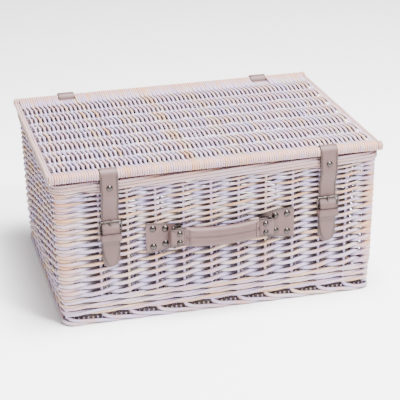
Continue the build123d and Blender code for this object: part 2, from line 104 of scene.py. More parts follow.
# The floor and the lid. All the lid's sticks and rods lie at one height.
BASE_Z = (BASE_LOW.z + BASE_HIGH.z) / 2
BASE_STICKS = 7
BASE_ROD_RADIUS = 1.6 * MM
BASE_STICK_RADIUS = (BASE_STICKS_HIGH.z - BASE_STICKS_LOW.z) / 2
BASE_STICK_LINES = list(np.linspace(BASE_STICKS_HIGH.y, BASE_STICKS_LOW.y, BASE_STICKS))
LID_Z = (FRONT_ROD_LOW.z + FRONT_ROD_HIGH.z) / 2
LID_FRONT = (FRONT_ROD_LOW.y + FRONT_ROD_HIGH.y) / 2
LID_BACK = (BACK_ROD_LOW.y + BACK_ROD_HIGH.y) / 2
LID_EDGE_RADIUS = (FRONT_ROD_HIGH.z - FRONT_ROD_LOW.z) / 2
LID_STICK_RADIUS = (LID_STICKS_HIGH.z - LID_STICKS_LOW.z) / 2
LID_ROW_PITCH = 6.56 * MM
LID_ROD_RADIUS = LID_ROW_PITCH / 4
# Where the lid's sticks lie, as shares of the way from its back rod to its front rod.
LID_STICK_PLACES = [0.147, 0.270, 0.390, 0.512, 0.635, 0.770, 0.890]
LID_STICK_LINES = [LID_BACK - share * (LID_BACK - LID_FRONT) for share in LID_STICK_PLACES]

# Leather.
STRAP_THICKNESS = 2.2 * MM
TAB_THICKNESS = 1.8 * MM
KEEPER_THICKNESS = 1.8 * MM
FOLD_THICKNESS = 2.0 * MM
TONGUE_HEIGHT = 24.4 * MM
TAB_GAP = 5.2 * MM
PLATE_CORNER = 3.0 * MM
WIRE_RADIUS = 1.4 * MM
HEEL_HEIGHT = 140.2 * MM
TIP_REACH = 36.0 * MM
TAB_ROUNDING = 13.0 * MM
# How far the faces of a strip fall towards its edges, as a share of half its thickness.
EDGE_FALL = 0.12

# Thread.
STITCH = 2.6 * MM
STITCH_GAP = 1.4 * MM
STITCH_TOP = 214.0 * MM
STITCH_INSET = 2.4 * MM
END_STITCH_INSET = 2.2 * MM
THREAD_RADIUS = 0.5 * MM
SEAM_RADIUS = 0.42 * MM

# The line of a front strap's tail, and of a back strap's.
TAIL_WALL_Y = -173.2 * MM
TAIL_WALL_TOP = 172.8 * MM
TAIL_WALL_BOTTOM = 152.7 * MM
TAIL_OVER_Y = -179.6 * MM
TAIL_OVER_TOP = 143.7 * MM
TAIL_OVER_BOTTOM = 137.1 * MM
TAIL_FLAT_Y = -174.6 * MM
TAIL_FLAT_TOP = 123.1 * MM
HINGE_TURN_HEIGHT = 194.8 * MM
HINGE_WALL_TOP = 180.8 * MM
HINGE_TAIL_Y = 174.2 * MM


# ------------ paths

def each(value, *shape):
    """A value spread over a shape: one for all the points, or already one for each."""
    return np.broadcast_to(np.asarray(value, float), shape)


def unit(vectors):
    """The vectors, each made one long."""
    return vectors / np.linalg.norm(vectors, axis=1)[:, None]


def directions(path):
    """The way that the path runs at each of its points."""
    return unit(np.gradient(path, axis=0))


def lengths(path):
    """How far along the path each of its points lies."""
    step = np.linalg.norm(np.diff(path, axis=0), axis=1)
    return np.concatenate([[0.0], np.cumsum(step)])


def sampled(path, places):
    """The points at some lengths along a path."""
    along = lengths(path)
    return np.stack([np.interp(places, along, values) for values in path.T], -1)


def even(points, spacing):
    """The path through points, in even steps of about the spacing."""
    points = np.asarray(points, float)
    total = lengths(points)[-1]
    return sampled(points, np.linspace(0, total, max(3, int(total / spacing) + 1)))


def relax(path, times):
    """The path with its corners eased, and its ends kept."""
    for _ in range(times):
        path[1:-1] = path[1:-1] / 2 + (path[:-2] + path[2:]) / 4
    return path


def rounded(points, spacing, times):
    """An even path through points with its corners rounded off."""
    return relax(even(points, spacing), times)


def finer_end(path, reach):
    """The path with its last part sampled closely, for a round end."""
    along = lengths(path)
    bend = along[-1] - reach * (1 - np.sin(np.linspace(0, math.pi / 2, 16)))
    return sampled(path, np.concatenate([along[along < along[-1] - reach], bend]))


def through(knots, samples):
    """A smooth curve through knots: Catmull-Rom, with samples to each span."""
    knots = np.concatenate([[2 * knots[0] - knots[1]], knots, [2 * knots[-1] - knots[-2]]])
    t = (np.arange(samples) / samples)[:, None]
    spans = []
    for p0, p1, p2, p3 in zip(knots, knots[1:], knots[2:], knots[3:], strict=False):
        spans.append(0.5 * (
            2 * p1 + (p2 - p0) * t
            + (2 * p0 - 5 * p1 + 4 * p2 - p3) * t**2
            + (3 * p1 - p0 - 3 * p2 + p3) * t**3))
    return np.concatenate([*spans, knots[-2][None]])


def wrap(axis_y, axis_z, reach, start, sweep, steps):
    """Points round a rod that lies along X, from an angle over +Y, by a sweep."""
    angle = start + sweep * np.linspace(0, 1, steps)
    return np.stack([axis_y + reach * np.cos(angle), axis_z + reach * np.sin(angle)], -1)


def soften(values, reach):
    """A closed run of values, each averaged with its neighbours."""
    total = sum(np.roll(values, k) for k in range(-reach, reach + 1))
    return total / (2 * reach + 1)


def smooth(t):
    """A share from 0 to 1, eased in and out."""
    return t * t * (3 - 2 * t)


def wander(n, size, waves=3, cycles=6):
    """A smooth random wander of n values, closed end to end."""
    t = TURN * np.arange(n) / n
    total = np.zeros(n)
    for _ in range(waves):
        total += np.sin(RANDOM.integers(1, cycles + 1) * t + RANDOM.uniform(0, TURN))
    return size * total / waves


# ------------ strands of willow

def keep_values(mesh, values_by_name):
    """Keeps a value or a vector for each of the mesh's points, under each name."""
    for name, values in values_by_name.items():
        values = np.concatenate(values).astype(np.float32)
        kind, key = ("FLOAT", "value") if values.ndim == 1 else ("FLOAT_VECTOR", "vector")
        mesh.attributes.new(name, kind, "POINT").data.foreach_set(key, values.ravel())


def new_object(name, mesh, material):
    piece = bpy.data.objects.new(name, mesh)
    bpy.context.scene.collection.objects.link(piece)
    mesh.materials.append(material)
    return piece


class Strands:
    """Tubes collected into one mesh. Each point keeps its own straightened coordinates for the
    grain, a tone that picks the rod's colour, its peach, partly scuffed wash and partly a
    painted warm highlight, and the painted shade of the weave's recesses."""

    def __init__(self, sides=8):
        self.sides = sides
        self.points, self.quads, self.caps = [], [], []
        self.kept = {"grain": [], "tone": [], "worn": [], "deep": []}
        self.count = 0

    def add(
        self, path, radius, facing, tone,
        closed=False, worn=0.0, flat=1.0, deep=0.0, open_way=None,
    ):
        """A tube along path, an array of points. facing is a direction, or one for each
        point, that the tube's sides are counted from and that it is flattened along; it is
        never along the path. The painted shade goes on the side that looks open_way."""
        n, sides = len(path), self.sides
        if closed:
            tangent = unit(np.roll(path, -1, 0) - np.roll(path, 1, 0))
        else:
            tangent = directions(path)
        facing = each(facing, n, 3)
        normal = unit(facing - (facing * tangent).sum(1)[:, None] * tangent)[:, None, :]
        across = np.cross(tangent, normal[:, 0])[:, None, :]
        angle = TURN * np.arange(sides) / sides
        c, s = np.cos(angle)[None, :, None], np.sin(angle)[None, :, None]
        r = each(radius, n)[:, None, None]
        ring = path[:, None, :] + r * (c * flat * normal + s * across)
        along = (lengths(path) + RANDOM.uniform(0, 50))[:, None, None]
        grain = np.concatenate(np.broadcast_arrays(along, r * c, r * s), -1)
        index = self.count + np.arange(n * sides).reshape(n, sides)
        after = np.roll(index, -1, 1)
        rows = np.arange(n if closed else n - 1)
        following = (rows + 1) % n
        quads = np.stack([index[rows], after[rows], after[following], index[following]], -1)
        self.quads.append(quads.reshape(-1, 4))
        if not closed:
            self.caps += [index[0][::-1], index[-1]]
        # How far each point looks the open way, the side that takes the painted shade of a recess.
        way = facing if open_way is None else each(open_way, n, 3)
        look = c * normal + s * across
        shown = np.clip((look * way[:, None, :]).sum(2) * 1.4 + 0.3, 0, 1)
        self.points.append(ring.reshape(-1, 3))
        self.kept["grain"].append(grain.reshape(-1, 3))
        self.kept["tone"].append(np.repeat(each(tone, n), sides))
        self.kept["worn"].append(np.repeat(each(worn, n), sides))
        self.kept["deep"].append((each(deep, n)[:, None] * shown).ravel())
        self.count += n * sides

    def piece(self, name, material):
        points = np.concatenate(self.points)
        quads = np.concatenate(self.quads)
        caps = np.array(self.caps, int).reshape(-1, self.sides)
        corners = np.concatenate([quads.ravel(), caps.ravel()])
        starts = np.concatenate([
            4 * np.arange(len(quads)),
            4 * len(quads) + self.sides * np.arange(len(caps)),
        ])
        mesh = bpy.data.meshes.new(name)
        mesh.vertices.add(len(points))
        mesh.vertices.foreach_set("co", points.astype(np.float32).ravel())
        mesh.loops.add(len(corners))
        mesh.loops.foreach_set("vertex_index", corners.astype(np.int32))
        mesh.polygons.add(len(starts))
        mesh.polygons.foreach_set("loop_start", starts.astype(np.int32))
        mesh.update(calc_edges=True)
        mesh.polygons.foreach_set("use_smooth", np.ones(len(starts), bool))
        keep_values(mesh, self.kept)
        mesh.validate()
        return new_object(name, mesh, material)


def strand_tone():
    """Most rods are washed nearly white, some show cream and a few show tan."""
    kind = RANDOM.random()
    if kind < 0.62:
        return RANDOM.uniform(0.0, 0.30)
    if kind < 0.90:
        return RANDOM.uniform(0.35, 0.60)
    return RANDOM.uniform(0.65, 0.9)


# ------------ the wall's middle line

def half_size(z, axis):
    """Half the siding's outside length or depth at a height. It widens a little upwards."""
    low = WALE_HIGH[axis] - WALE_PROUD
    high = SIDING_HIGH[axis]
    share = (z - WALE_HIGH.z) / (SIDING_HIGH.z - WALE_HIGH.z)
    return low + (high - low) * share


def stake_row(count):
    """Where the stakes of a wall stand, from its middle."""
    return [STAKE_PITCH * (i - (count - 1) / 2) for i in range(count)]


class WallLine:
    """The middle line of the wall at a height, from the front left corner to the right."""

    def __init__(self, z):
        self.half_length = half_size(z, 0) - WALL / 2
        self.half_depth = half_size(z, 1) - WALL / 2
        self.radius = CORNER_RADIUS - WALL / 2
        self.arc = math.pi / 2 * self.radius
        self.front = 2 * (self.half_length - self.radius)
        self.side = 2 * (self.half_depth - self.radius)
        self.length = 2 * (self.front + self.side) + 4 * self.arc

    def at(self, u):
        """Points and outward normals at distances u along the line."""
        u = np.mod(np.asarray(u, float), self.length)
        # Eight spans: the front, a corner, the right side, and so on round to the left side.
        spans = [self.front, self.arc, self.side, self.arc] * 2
        ends = np.cumsum(spans)
        span = np.searchsorted(ends, u, side="right").clip(0, 7)
        t = u - (ends - spans)[span]
        a, b, r = self.half_length, self.half_depth, self.radius
        corner_x = np.array([0, a - r, 0, a - r, 0, r - a, 0, r - a])[span]
        corner_y = np.array([0, r - b, 0, b - r, 0, b - r, 0, r - b])[span]
        turned = (np.array([0, 3, 0, 0, 0, 1, 0, 2])[span] * math.pi / 2) + t / r
        front, right, back, left = (span == k for k in (0, 2, 4, 6))
        walls = [front, right, back, left]
        x = np.select(walls, [r - a + t, a, a - r - t, -a], corner_x + r * np.cos(turned))
        y = np.select(walls, [-b, r - b + t, b, b - r - t], corner_y + r * np.sin(turned))
        nx = np.select([right, left, front | back], [1.0, -1.0, 0.0], np.cos(turned))
        ny = np.select([front, back, right | left], [-1.0, 1.0, 0.0], np.sin(turned))
        return x, y, nx, ny

    def stakes(self):
        """Where the stakes and posts stand along the line, with their radii, in order."""
        front = [FRONT_STAKE_SHIFT + place for place in stake_row(FRONT_STAKES)]
        back = [-place for place in reversed(front)]
        side = stake_row(SIDE_STAKES)
        places, start = [], 0.0
        for values, span in ((front, self.front), (side, self.side), (back, self.front), (side, self.side)):
            places += [(start + span / 2 + value, STAKE_RADIUS) for value in values]
            start += span
            places.append((start + self.arc / 2, POST_RADIUS))
            start += self.arc
        return places

    def ahead(self, first, steps):
        """The places of a stake and the next ones, counted on past the end of the line."""
        places = [place for place, _ in self.stakes()]
        count = len(places)
        return [places[k % count] + self.length * (k // count) for k in range(first, first + steps)]

    def paced(self, samples):
        """Distances along the whole line, samples to each gap between stakes, with the
        gap's number counted on and the stake radius there."""
        places = self.stakes()
        u, beat, thick = [], [], []
        share = np.arange(samples) / samples
        for k, (place, radius) in enumerate(places):
            _, following = self.ahead(k, 2)
            following_radius = places[(k + 1) % len(places)][1]
            u.append(place + (following - place) * share)
            beat.append(k + share)
            thick.append(radius + (following_radius - radius) * smooth(share))
        return np.concatenate(u), np.concatenate(beat), np.concatenate(thick)


def on_wall(line, u, out, z):
    """Points standing out from the wall's middle line, and the outward directions."""
    x, y, nx, ny = line.at(u)
    points = np.stack([x + nx * out, y + ny * out, np.broadcast_to(z, x.shape)], -1)
    return points, np.stack([nx, ny, np.zeros_like(nx)], -1)


# ------------ woven walls

def clear_of_stakes(thick, rod):
    """How far out a rod runs that bends round the stakes. The rods pull in close round the
    thick corner posts, and cover them."""
    return 0.8 * STAKE_RADIUS + 0.3 * (thick - STAKE_RADIUS) + 0.75 * rod


def pairing_row(strands, z, height, samples=14):
    """Two rods that pass either side of each stake and twist over each other between. A rod
    shows peach where it stands proud of a stake: partly scuffed wash, partly a painted warm highlight."""
    line = WallLine(z)
    u, beat, thick = line.paced(samples)
    rod = height / 4
    swing = clear_of_stakes(thick, rod)
    post = ((thick - STAKE_RADIUS) / (POST_RADIUS - STAKE_RADIUS)) ** 3
    sway = wander(len(u), 0.06 * height)
    for which in (0, 1):
        phase = math.pi * (beat + which)
        # At a post both rods lie outside, one above the other.
        at_post = np.cos(math.pi * (np.round(beat) + which))
        radius = ROD_FULLNESS * rod * (1 + wander(len(u), 0.05, cycles=40))
        radius = radius * RANDOM.uniform(0.90, 1.05) * (1 + 0.2 * post)
        out = swing * ((1 - post) * np.cos(phase) + post) + wander(len(u), 0.15 * MM, cycles=30)
        up = z + rod * ((1 - post) * np.sin(phase) + post * at_post)
        up = up + sway + wander(len(u), 0.2 * MM, cycles=30)
        points, facing = on_wall(line, u, out, up)
        tone = strand_tone() + wander(len(u), 0.15, cycles=5)
        proud = np.clip(np.cos(phase), 0, 1) ** 2 * (1 - post) + 1.2 * post
        worn = proud * np.clip(RANDOM.uniform(0.3, 1.0) + wander(len(u), 0.35, cycles=20), 0, 1)
        # Painted shade where the rod lies back behind a stake, in the weave's recess.
        deep = np.clip(-1.5 * np.cos(phase), 0, 1) * (1 - post)
        strands.add(points, radius, facing, tone, closed=True, worn=worn, flat=SQUASH, deep=deep)


def siding_rows():
    """Heights of the siding's rows and of each row's middle, from the bottom."""
    total = SIDING_HIGH.z - SIDING_LOW.z
    top_pitch = 2 * total / SIDING_ROWS - SIDING_LOWEST_PITCH
    share = (np.arange(SIDING_ROWS) + 0.5) / SIDING_ROWS
    heights = SIDING_LOWEST_PITCH + (top_pitch - SIDING_LOWEST_PITCH) * share
    middles = SIDING_LOW.z + np.cumsum(heights) - heights / 2
    return list(zip(middles, heights, strict=True))


def siding():
    """The pair-woven walls, in courses one above the other."""
    rows = siding_rows()
    pieces = []
    for course in range(SIDING_COURSES):
        strands = Strands(sides=10)
        first = course * len(rows) // SIDING_COURSES
        last = (course + 1) * len(rows) // SIDING_COURSES
        for z, height in rows[first:last]:
            pairing_row(strands, z, height)
        pieces.append(strands.piece("siding_course_%d" % (course + 1), WILLOW))
    return pieces


def lower_wale(samples=12):
    """Rows of three rods, each in front of two stakes and behind the next."""
    strands = Strands(sides=10)
    height = (WALE_HIGH.z - WALE_BOTTOM) / WALE_ROWS
    for row in range(WALE_ROWS):
        z = WALE_BOTTOM + (row + 0.5) * height
        line = WallLine(z)
        u, beat, thick = line.paced(samples)
        stakes = len(u) // samples
        # The beat is stretched so that the three rods close up after the whole way round.
        stretched = beat * 3 * round(stakes / 3) / stakes
        swing = clear_of_stakes(thick, WALE_ROD_RADIUS)
        for which in range(3):
            part = np.mod(stretched + which, 3)
            over = np.interp(part, [0, 0.5, 1, 1.5, 2, 2.5, 3], [1, 1.15, 1, 0.0, -1, 0.0, 1])
            rise = np.interp(part, [0, 1, 2, 3], [-1, 1, 0, -1]) * height * 0.27
            over = soften(over, samples // 4)
            rise = soften(rise, samples // 3)
            points, facing = on_wall(line, u, swing * over, z + rise + wander(len(u), 0.2 * MM))
            radius = WALE_ROD_RADIUS * (1 + wander(len(u), 0.05, cycles=30))
            # Peach where the rod passes in front of a stake: partly scuffed wash, partly a painted warm
            # highlight.
            worn = np.clip(over, 0, 1) * np.clip(0.35 + wander(len(u), 0.5, cycles=30), 0, 1)
            tone = strand_tone() + wander(len(u), 0.15)
            # Painted shade where the rod lies back behind a stake.
            deep = np.clip(-1.5 * over, 0, 1)
            strands.add(points, radius, facing, tone, closed=True, worn=worn, flat=SQUASH, deep=deep)
    return strands.piece("lower_wale_rods", WILLOW)


def long_rod(strands, line, out, z, radius, deep=0.0):
    """A rod that runs all the way round inside a border, darkened by the painted shade given."""
    u, _, _ = line.paced(12)
    points, facing = on_wall(line, u, out + wander(len(u), 0.3 * MM), z + wander(len(u), 0.3 * MM))
    tone = strand_tone() + wander(len(u), 0.1)
    strands.add(points, radius, facing, tone, closed=True, deep=deep)


def foot_border():
    """Thick rods, each bent down out of the wale to the right of a stake and laid sloping
    over the one before, until it turns in underneath."""
    strands = Strands(sides=10)
    line = WallLine(FOOT_TOP / 2)
    high, low = FOOT_TOP - FOOT_ROD_RADIUS * 1.45, FOOT_ROD_RADIUS
    for k in range(len(line.stakes())):
        place, second, third = line.ahead(k, 3)
        knots = [
            (place - 0.5 * MM, 0.0, WALE_BOTTOM + 6 * MM),
            (place, 0.6 * MM, WALE_BOTTOM + 1 * MM),
            (place + 2.8 * MM, 2.0 * MM, high + 3.6 * MM),
            (place + FOOT_BEND, 3.4 * MM, high),
            ((place + second) / 2 + FOOT_BEND / 2, 3.7 * MM, (high + low) / 2 + 0.8 * MM),
            (second + FOOT_BEND, 3.7 * MM, low + 0.4 * MM),
            ((second + third) / 2, 2.8 * MM, low),
            (third - 4 * MM, -1.0 * MM, low),
            (third + 8 * MM, -3.6 * MM, low + 1.2 * MM),
        ]
        u, out, z = through(np.array(knots), 8).T
        points, facing = on_wall(line, u, out, z + wander(len(u), 0.2 * MM))
        points[:, 2] = np.maximum(points[:, 2], low)
        # The rod is thinner where it comes out beside its stake.
        taper = np.linspace(1.0, 0.92, len(u))
        taper[:8] *= 0.8
        worn = np.clip(0.3 + wander(len(u), 0.5), 0, 1)
        strands.add(points, FOOT_ROD_RADIUS * taper, facing, strand_tone(), worn=worn)
    # Behind the border two inner rods lie in the dark, with painted shade on them, bound with close upright
    # turns.
    for z in (2.6, 7.4):
        long_rod(strands, line, -3.8 * MM, z * MM, 2.4 * MM, deep=1.0)
    height = np.linspace(1.6, 9.8, 5) * MM
    turns = int(line.length / BINDING_PITCH)
    for k in range(turns):
        u = np.full(len(height), line.length * k / turns)
        points, facing = on_wall(line, u, -0.6 * MM, height)
        radius = BINDING_PITCH * RANDOM.uniform(0.15, 0.2)
        strands.add(points, radius, facing, strand_tone(), worn=0.2)
    return strands.piece("foot_border_rods", WILLOW)


def rim_border():
    """Long smooth rods laid one over the other to the right, over a core of plain rods."""
    strands = Strands(sides=10)
    low = RIM_LOW.z
    line = WallLine(low)
    # Each rod comes out beside a stake, climbs in front of five more and goes in again.
    knots_out = np.array([-2.0, 2.6, 4.7, 5.2, 5.2, 4.6, 1.5, -1.5]) * MM
    knots_up = np.array([-0.5, 0.9, 3.1, 5.3, 9.6, 11.4, 12.2, 11.4]) * MM
    for k in range(0, len(line.stakes()), 2):
        ahead = line.ahead(k, 7)
        knots_u = [ahead[0] - 16 * MM, *(ahead[j] for j in (0, 1, 2, 4, 5, 6)), ahead[6] + 18 * MM]
        u, out, z = through(np.stack([knots_u, knots_out, low + knots_up], -1), 12).T
        points, facing = on_wall(line, u, out, z)
        radius = RIM_ROD_RADIUS * RANDOM.uniform(0.92, 1.06) * np.linspace(1.0, 0.9, len(u))
        worn = np.clip(0.15 + wander(len(u), 0.5), 0, 1)
        strands.add(points, radius, facing, RANDOM.uniform(0.2, 0.8), worn=worn)
    # The outer core rods, behind the laid rods, get painted shade; the inner ones, facing the inside, get
    # none.
    for out, z, deep in (
        (-3.8, 2.4, 0), (-4.4, 6.6, 0), (-4.0, 10.6, 0),
        (-0.6, 10.9, 0.5), (-0.2, 6.6, 1), (-0.4, 2.6, 1),
    ):
        long_rod(strands, line, out * MM, low + z * MM, 2.3 * MM, deep=deep)
    return strands.piece("rim_border_rods", WILLOW_SMOOTH)


def stakes():
    """The upright stakes and the corner posts."""
    strands = Strands(sides=10)
    share = np.linspace(0, 1, 14)
    bottom, top = WallLine(FOOT_TOP), WallLine(RIM_HIGH.z - 5 * MM)
    z = np.linspace(FOOT_TOP, RIM_HIGH.z - 5 * MM, 14)
    for (u0, radius), (u1, _) in zip(bottom.stakes(), top.stakes(), strict=True):
        (x0, y0, nx, ny), (x1, y1, _, _) = bottom.at(u0), top.at(u1)
        points = np.stack([x0 + (x1 - x0) * share, y0 + (y1 - y0) * share, z], -1)
        tone = RANDOM.uniform(0.1, 0.6)
        strands.add(points, radius * (1 + wander(len(z), 0.03)), (nx, ny, 0), tone)
    return strands.piece("stakes_and_posts", WILLOW)


# ------------ woven panels

def aside(phase, sharpness=0.5):
    """How far a twisting rod lies to the side, -1 to 1: most of the way between two sticks
    it lies fully beside its partner."""
    turned = np.sin(phase)
    return turned * np.sqrt(1 + sharpness**2) / np.sqrt(turned**2 + sharpness**2)


def panel_end(x, which, panel, outward):
    """One end of a rod, from the last stick outwards: a quarter of a twist, then beside its
    partner up to the edge rod, over it and back underneath."""
    sticks, swing, axis_z, reach = (panel[key] for key in ("sticks", "swing", "z", "reach"))
    first = outward > 0
    edge = panel["back"] if first else panel["front"]
    stick = sticks[0] if first else sticks[-1]
    twist = math.pi * (which if first else which + len(sticks) - 1)
    quarter = np.linspace(0, 1, 7)[1:]
    turned = twist - outward * math.pi / 2 * quarter
    beside = x + panel["radius"] * aside(twist - outward * math.pi / 2)
    away = stick + outward * quarter * abs(edge - stick) * panel["quarter"]
    lead = np.stack([x + panel["radius"] * aside(turned), away, axis_z + swing * np.cos(turned)], -1)
    if any(abs(x - place) < panel["slot"] for place in panel["slots"]):
        # Here a strap goes round the edge rod, and the rod of willow stops short of it.
        stop = edge - outward * panel["slot_depth"]
        return np.concatenate([lead, [[beside, (away[-1] + stop) / 2, axis_z], [beside, stop, axis_z]]])
    climb = [[(away[-1] + edge) / 2, axis_z + reach * 0.55]]
    over = wrap(edge, axis_z, reach, math.pi / 2, -outward * math.pi, 13)
    inboard = outward * panel["inboard"]
    back = [
        [edge - inboard * 0.6, axis_z - reach * 0.9],
        [edge - inboard, axis_z - reach * 0.55],
        [edge - inboard * 1.2, axis_z - reach * 0.25],
    ]
    yz = np.concatenate([climb, over, back])
    return np.concatenate([lead, np.column_stack([np.full(len(yz), beside), yz])])


def panel_strand(strands, x, which, panel):
    """One rod of a panel's row. It twists with its partner between the sticks, lies beside
    it next to the edge rods, and turns over them and back underneath."""
    sticks, swing, axis_z, spread = (panel[key] for key in ("sticks", "swing", "z", "radius"))
    samples = 10
    beat = np.arange((len(sticks) - 1) * samples + 1) / samples
    y = np.interp(beat, range(len(sticks)), sticks)
    phase = math.pi * (beat + which)
    run = np.stack([x + spread * aside(phase), y, axis_z + swing * np.cos(phase)], -1)
    back, front = (panel_end(x, which, panel, outward) for outward in (1, -1))
    path = relax(np.concatenate([back[::-1], run, front]), 2)
    path[:, 0] += wander(len(path), 0.16 * MM, cycles=9)
    radius = spread * RANDOM.uniform(0.92, 1.04) * (1 + wander(len(path), 0.04, cycles=12))
    radius = radius * panel["fineness"]
    # The rod shows peach, partly scuffed wash and partly a painted warm highlight, over the sticks, and
    # most of all over the edge rods.
    edge = np.minimum(np.abs(path[:, 1] - panel["front"]), np.abs(path[:, 1] - panel["back"]))
    height = (path[:, 2] - axis_z) / swing
    worn = RANDOM.uniform(0.1, 0.8) * np.clip(height, 0, 1) + 0.8 * np.clip(1 - edge / (22 * MM), 0, 1)
    worn = worn + wander(len(path), 0.3, cycles=8)
    tone = strand_tone() + wander(len(path), 0.12, cycles=4)
    # Painted shade on the upper side where the rod dips under a stick, seen through the gaps.
    deep = np.clip(-1.3 * height, 0, 1)
    worn = np.clip(worn, 0, 1) * panel["peach_wear_and_light_scale"]
    strands.add(path, radius, (1, 0, 0), tone, worn=worn, deep=deep, open_way=(0, 0, 1))


def panel_rows(name, panel, pieces=2):
    """All the rows of a panel, shared between a few pieces from left to right."""
    width = panel["right"] - panel["left"]
    rows = round(width / panel["pitch"])
    pitch = width / rows
    made = []
    for part in range(pieces):
        strands = Strands()
        for row in range(part * rows // pieces, (part + 1) * rows // pieces):
            for which in (0, 1):
                panel_strand(strands, panel["left"] + (row + 0.5) * pitch, which, panel)
        made.append(strands.piece("%s_%d" % (name, part + 1), WILLOW))
    return made


def strap_places():
    """The middles of the two lines of straps, from left to right."""
    boxes = [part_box("strap_loop_" + side) for side in SIDES]
    return [(low.x + high.x) / 2 for low, high in boxes]


def lid_weave():
    """The lid's woven rows, from its front rod to its back rod."""
    panel = {
        "sticks": LID_STICK_LINES, "swing": LID_STICK_RADIUS + LID_ROD_RADIUS, "z": LID_Z,
        "front": LID_FRONT, "back": LID_BACK,
        "reach": LID_EDGE_RADIUS + LID_ROD_RADIUS, "radius": LID_ROD_RADIUS,
        "inboard": 16 * MM, "pitch": LID_ROW_PITCH, "quarter": 0.42, "fineness": 1.02, "peach_wear_and_light_scale": 1.0,
        "left": LID_STICKS_LOW.x + 0.6 * MM, "right": LID_STICKS_HIGH.x - 0.6 * MM,
        "slots": strap_places(), "slot": (STRAP_HIGH.x - STRAP_LOW.x) / 2 + 2.2 * MM,
        "slot_depth": 10.6 * MM,
    }
    return panel_rows("lid_weave_part", panel)


def base_panel():
    """The floor's woven rows, finer than the lid's and with less of the peach."""
    reach = (BASE_HIGH.z - BASE_LOW.z) / 2 - BASE_ROD_RADIUS
    panel = {
        "sticks": BASE_STICK_LINES, "swing": BASE_STICK_RADIUS + BASE_ROD_RADIUS, "z": BASE_Z,
        "front": BASE_LOW.y + reach + BASE_ROD_RADIUS,
        "back": BASE_HIGH.y - reach - BASE_ROD_RADIUS,
        "reach": reach, "radius": BASE_ROD_RADIUS,
        "inboard": 9 * MM, "pitch": 4 * BASE_ROD_RADIUS, "quarter": 0.5, "fineness": 0.7, "peach_wear_and_light_scale": 0.2,
        "left": BASE_LOW.x + 4 * MM, "right": BASE_HIGH.x - 4 * MM,
        "slots": [], "slot": 0, "slot_depth": 0,
    }
    return panel_rows("base_weave_part", panel)


def level_path(x, y, z):
    """A path at one height. x or y may be one number."""
    return np.stack(np.broadcast_arrays(x, y, float(z)), -1)


def lid_frame():
    """The lid's sticks, its edge rods with the turns at their ends, and its side rods."""
    strands = Strands(sides=12)
    upright = (0, 0, 1)
    # The sticks lie under the rows and take painted shade on their upper side.
    for y in LID_STICK_LINES:
        x = np.linspace(LID_STICKS_LOW.x - 1 * MM, LID_STICKS_HIGH.x + 1 * MM, 40)
        path = level_path(x, y + wander(len(x), 0.4 * MM), LID_Z)
        strands.add(path, LID_STICK_RADIUS, upright, RANDOM.uniform(0.2, 0.7), deep=0.7)
    # The edge rods are rounded at their ends.
    half = FRONT_ROD_HIGH.x
    x = np.linspace(-half + 1.5 * MM, half - 1.5 * MM, 60)
    x = np.concatenate([[-half, -half + 0.5 * MM], x, [half - 0.5 * MM, half]])
    radius = np.full(len(x), LID_EDGE_RADIUS)
    radius[[0, -1]] = LID_EDGE_RADIUS * 0.7
    radius[[1, -2]] = LID_EDGE_RADIUS * 0.9
    for y in (LID_FRONT, LID_BACK):
        strands.add(level_path(x, y, LID_Z), radius, upright, 0.75)
    # Each side has a thick rod outside and a thinner one beside it.
    side = (SIDE_RODS_HIGH.z - SIDE_RODS_LOW.z) / 2
    for direction in SIDES.values():
        for inset, share, tone in ((0.62, 0.62, 0.62), (1.62, 0.42, 0.2)):
            y = np.linspace(SIDE_RODS_LOW.y - 1 * MM, SIDE_RODS_HIGH.y + 1 * MM, 50)
            x = direction * (SIDE_RODS_HIGH.x - inset * side) + wander(len(y), 0.3 * MM)
            radius = share * side * (1 + wander(len(y), 0.04))
            tones = tone + wander(len(y), 0.15)
            strands.add(level_path(x, y, LID_Z), radius, upright, tones, worn=0.25)
    # Turns that cover the edge rods where no row does: at their ends and under the straps.
    turn = LID_ROD_RADIUS
    places = [d * (LID_STICKS_HIGH.x + (0.9 + 2 * k) * turn) for d in SIDES.values() for k in range(2)]
    places += [place + turn * 2 * k for place in strap_places() for k in range(-4, 5)]
    for y in (LID_FRONT, LID_BACK):
        ring = wrap(y, LID_Z, LID_EDGE_RADIUS + turn, 0, TURN * 23 / 24, 24)
        for x in places:
            path = np.column_stack([np.full(len(ring), x), ring])
            strands.add(path, turn, (1, 0, 0), RANDOM.uniform(0.2, 0.7), closed=True, worn=0.6)
    return strands.piece("lid_rods_and_sticks", WILLOW_SMOOTH)


def base_frame():
    """The floor's sticks and the rods round its edges."""
    strands = Strands(sides=10)
    edge = (BASE_HIGH.z - BASE_LOW.z) / 2
    front, back = BASE_LOW.y + edge, BASE_HIGH.y - edge
    # The sticks take painted shade on their undersides and the edge rods on their outer sides, seen through
    # the foot's holes.
    for y in [*BASE_STICK_LINES, front, back]:
        x = np.linspace(BASE_LOW.x + 1 * MM, BASE_HIGH.x - 1 * MM, 30)
        path = level_path(x, y + wander(len(x), 0.3 * MM), BASE_Z)
        open_way = {front: (0, -1, 0), back: (0, 1, 0)}.get(y, (0, 0, -1))
        tone = RANDOM.uniform(0.2, 0.7)
        strands.add(path, BASE_STICK_RADIUS, (0, 0, 1), tone, deep=1.0, open_way=open_way)
    for direction in SIDES.values():
        y = np.linspace(BASE_LOW.y + 4 * MM, BASE_HIGH.y - 4 * MM, 30)
        path = level_path(direction * (BASE_HIGH.x - 2 * MM), y, BASE_Z)
        open_way = (direction, 0, 0)
        strands.add(path, BASE_STICK_RADIUS, (0, 0, 1), 0.5, deep=1.0, open_way=open_way)
    return strands.piece("base_sticks_and_edges", WILLOW)


# ------------ leather and thread

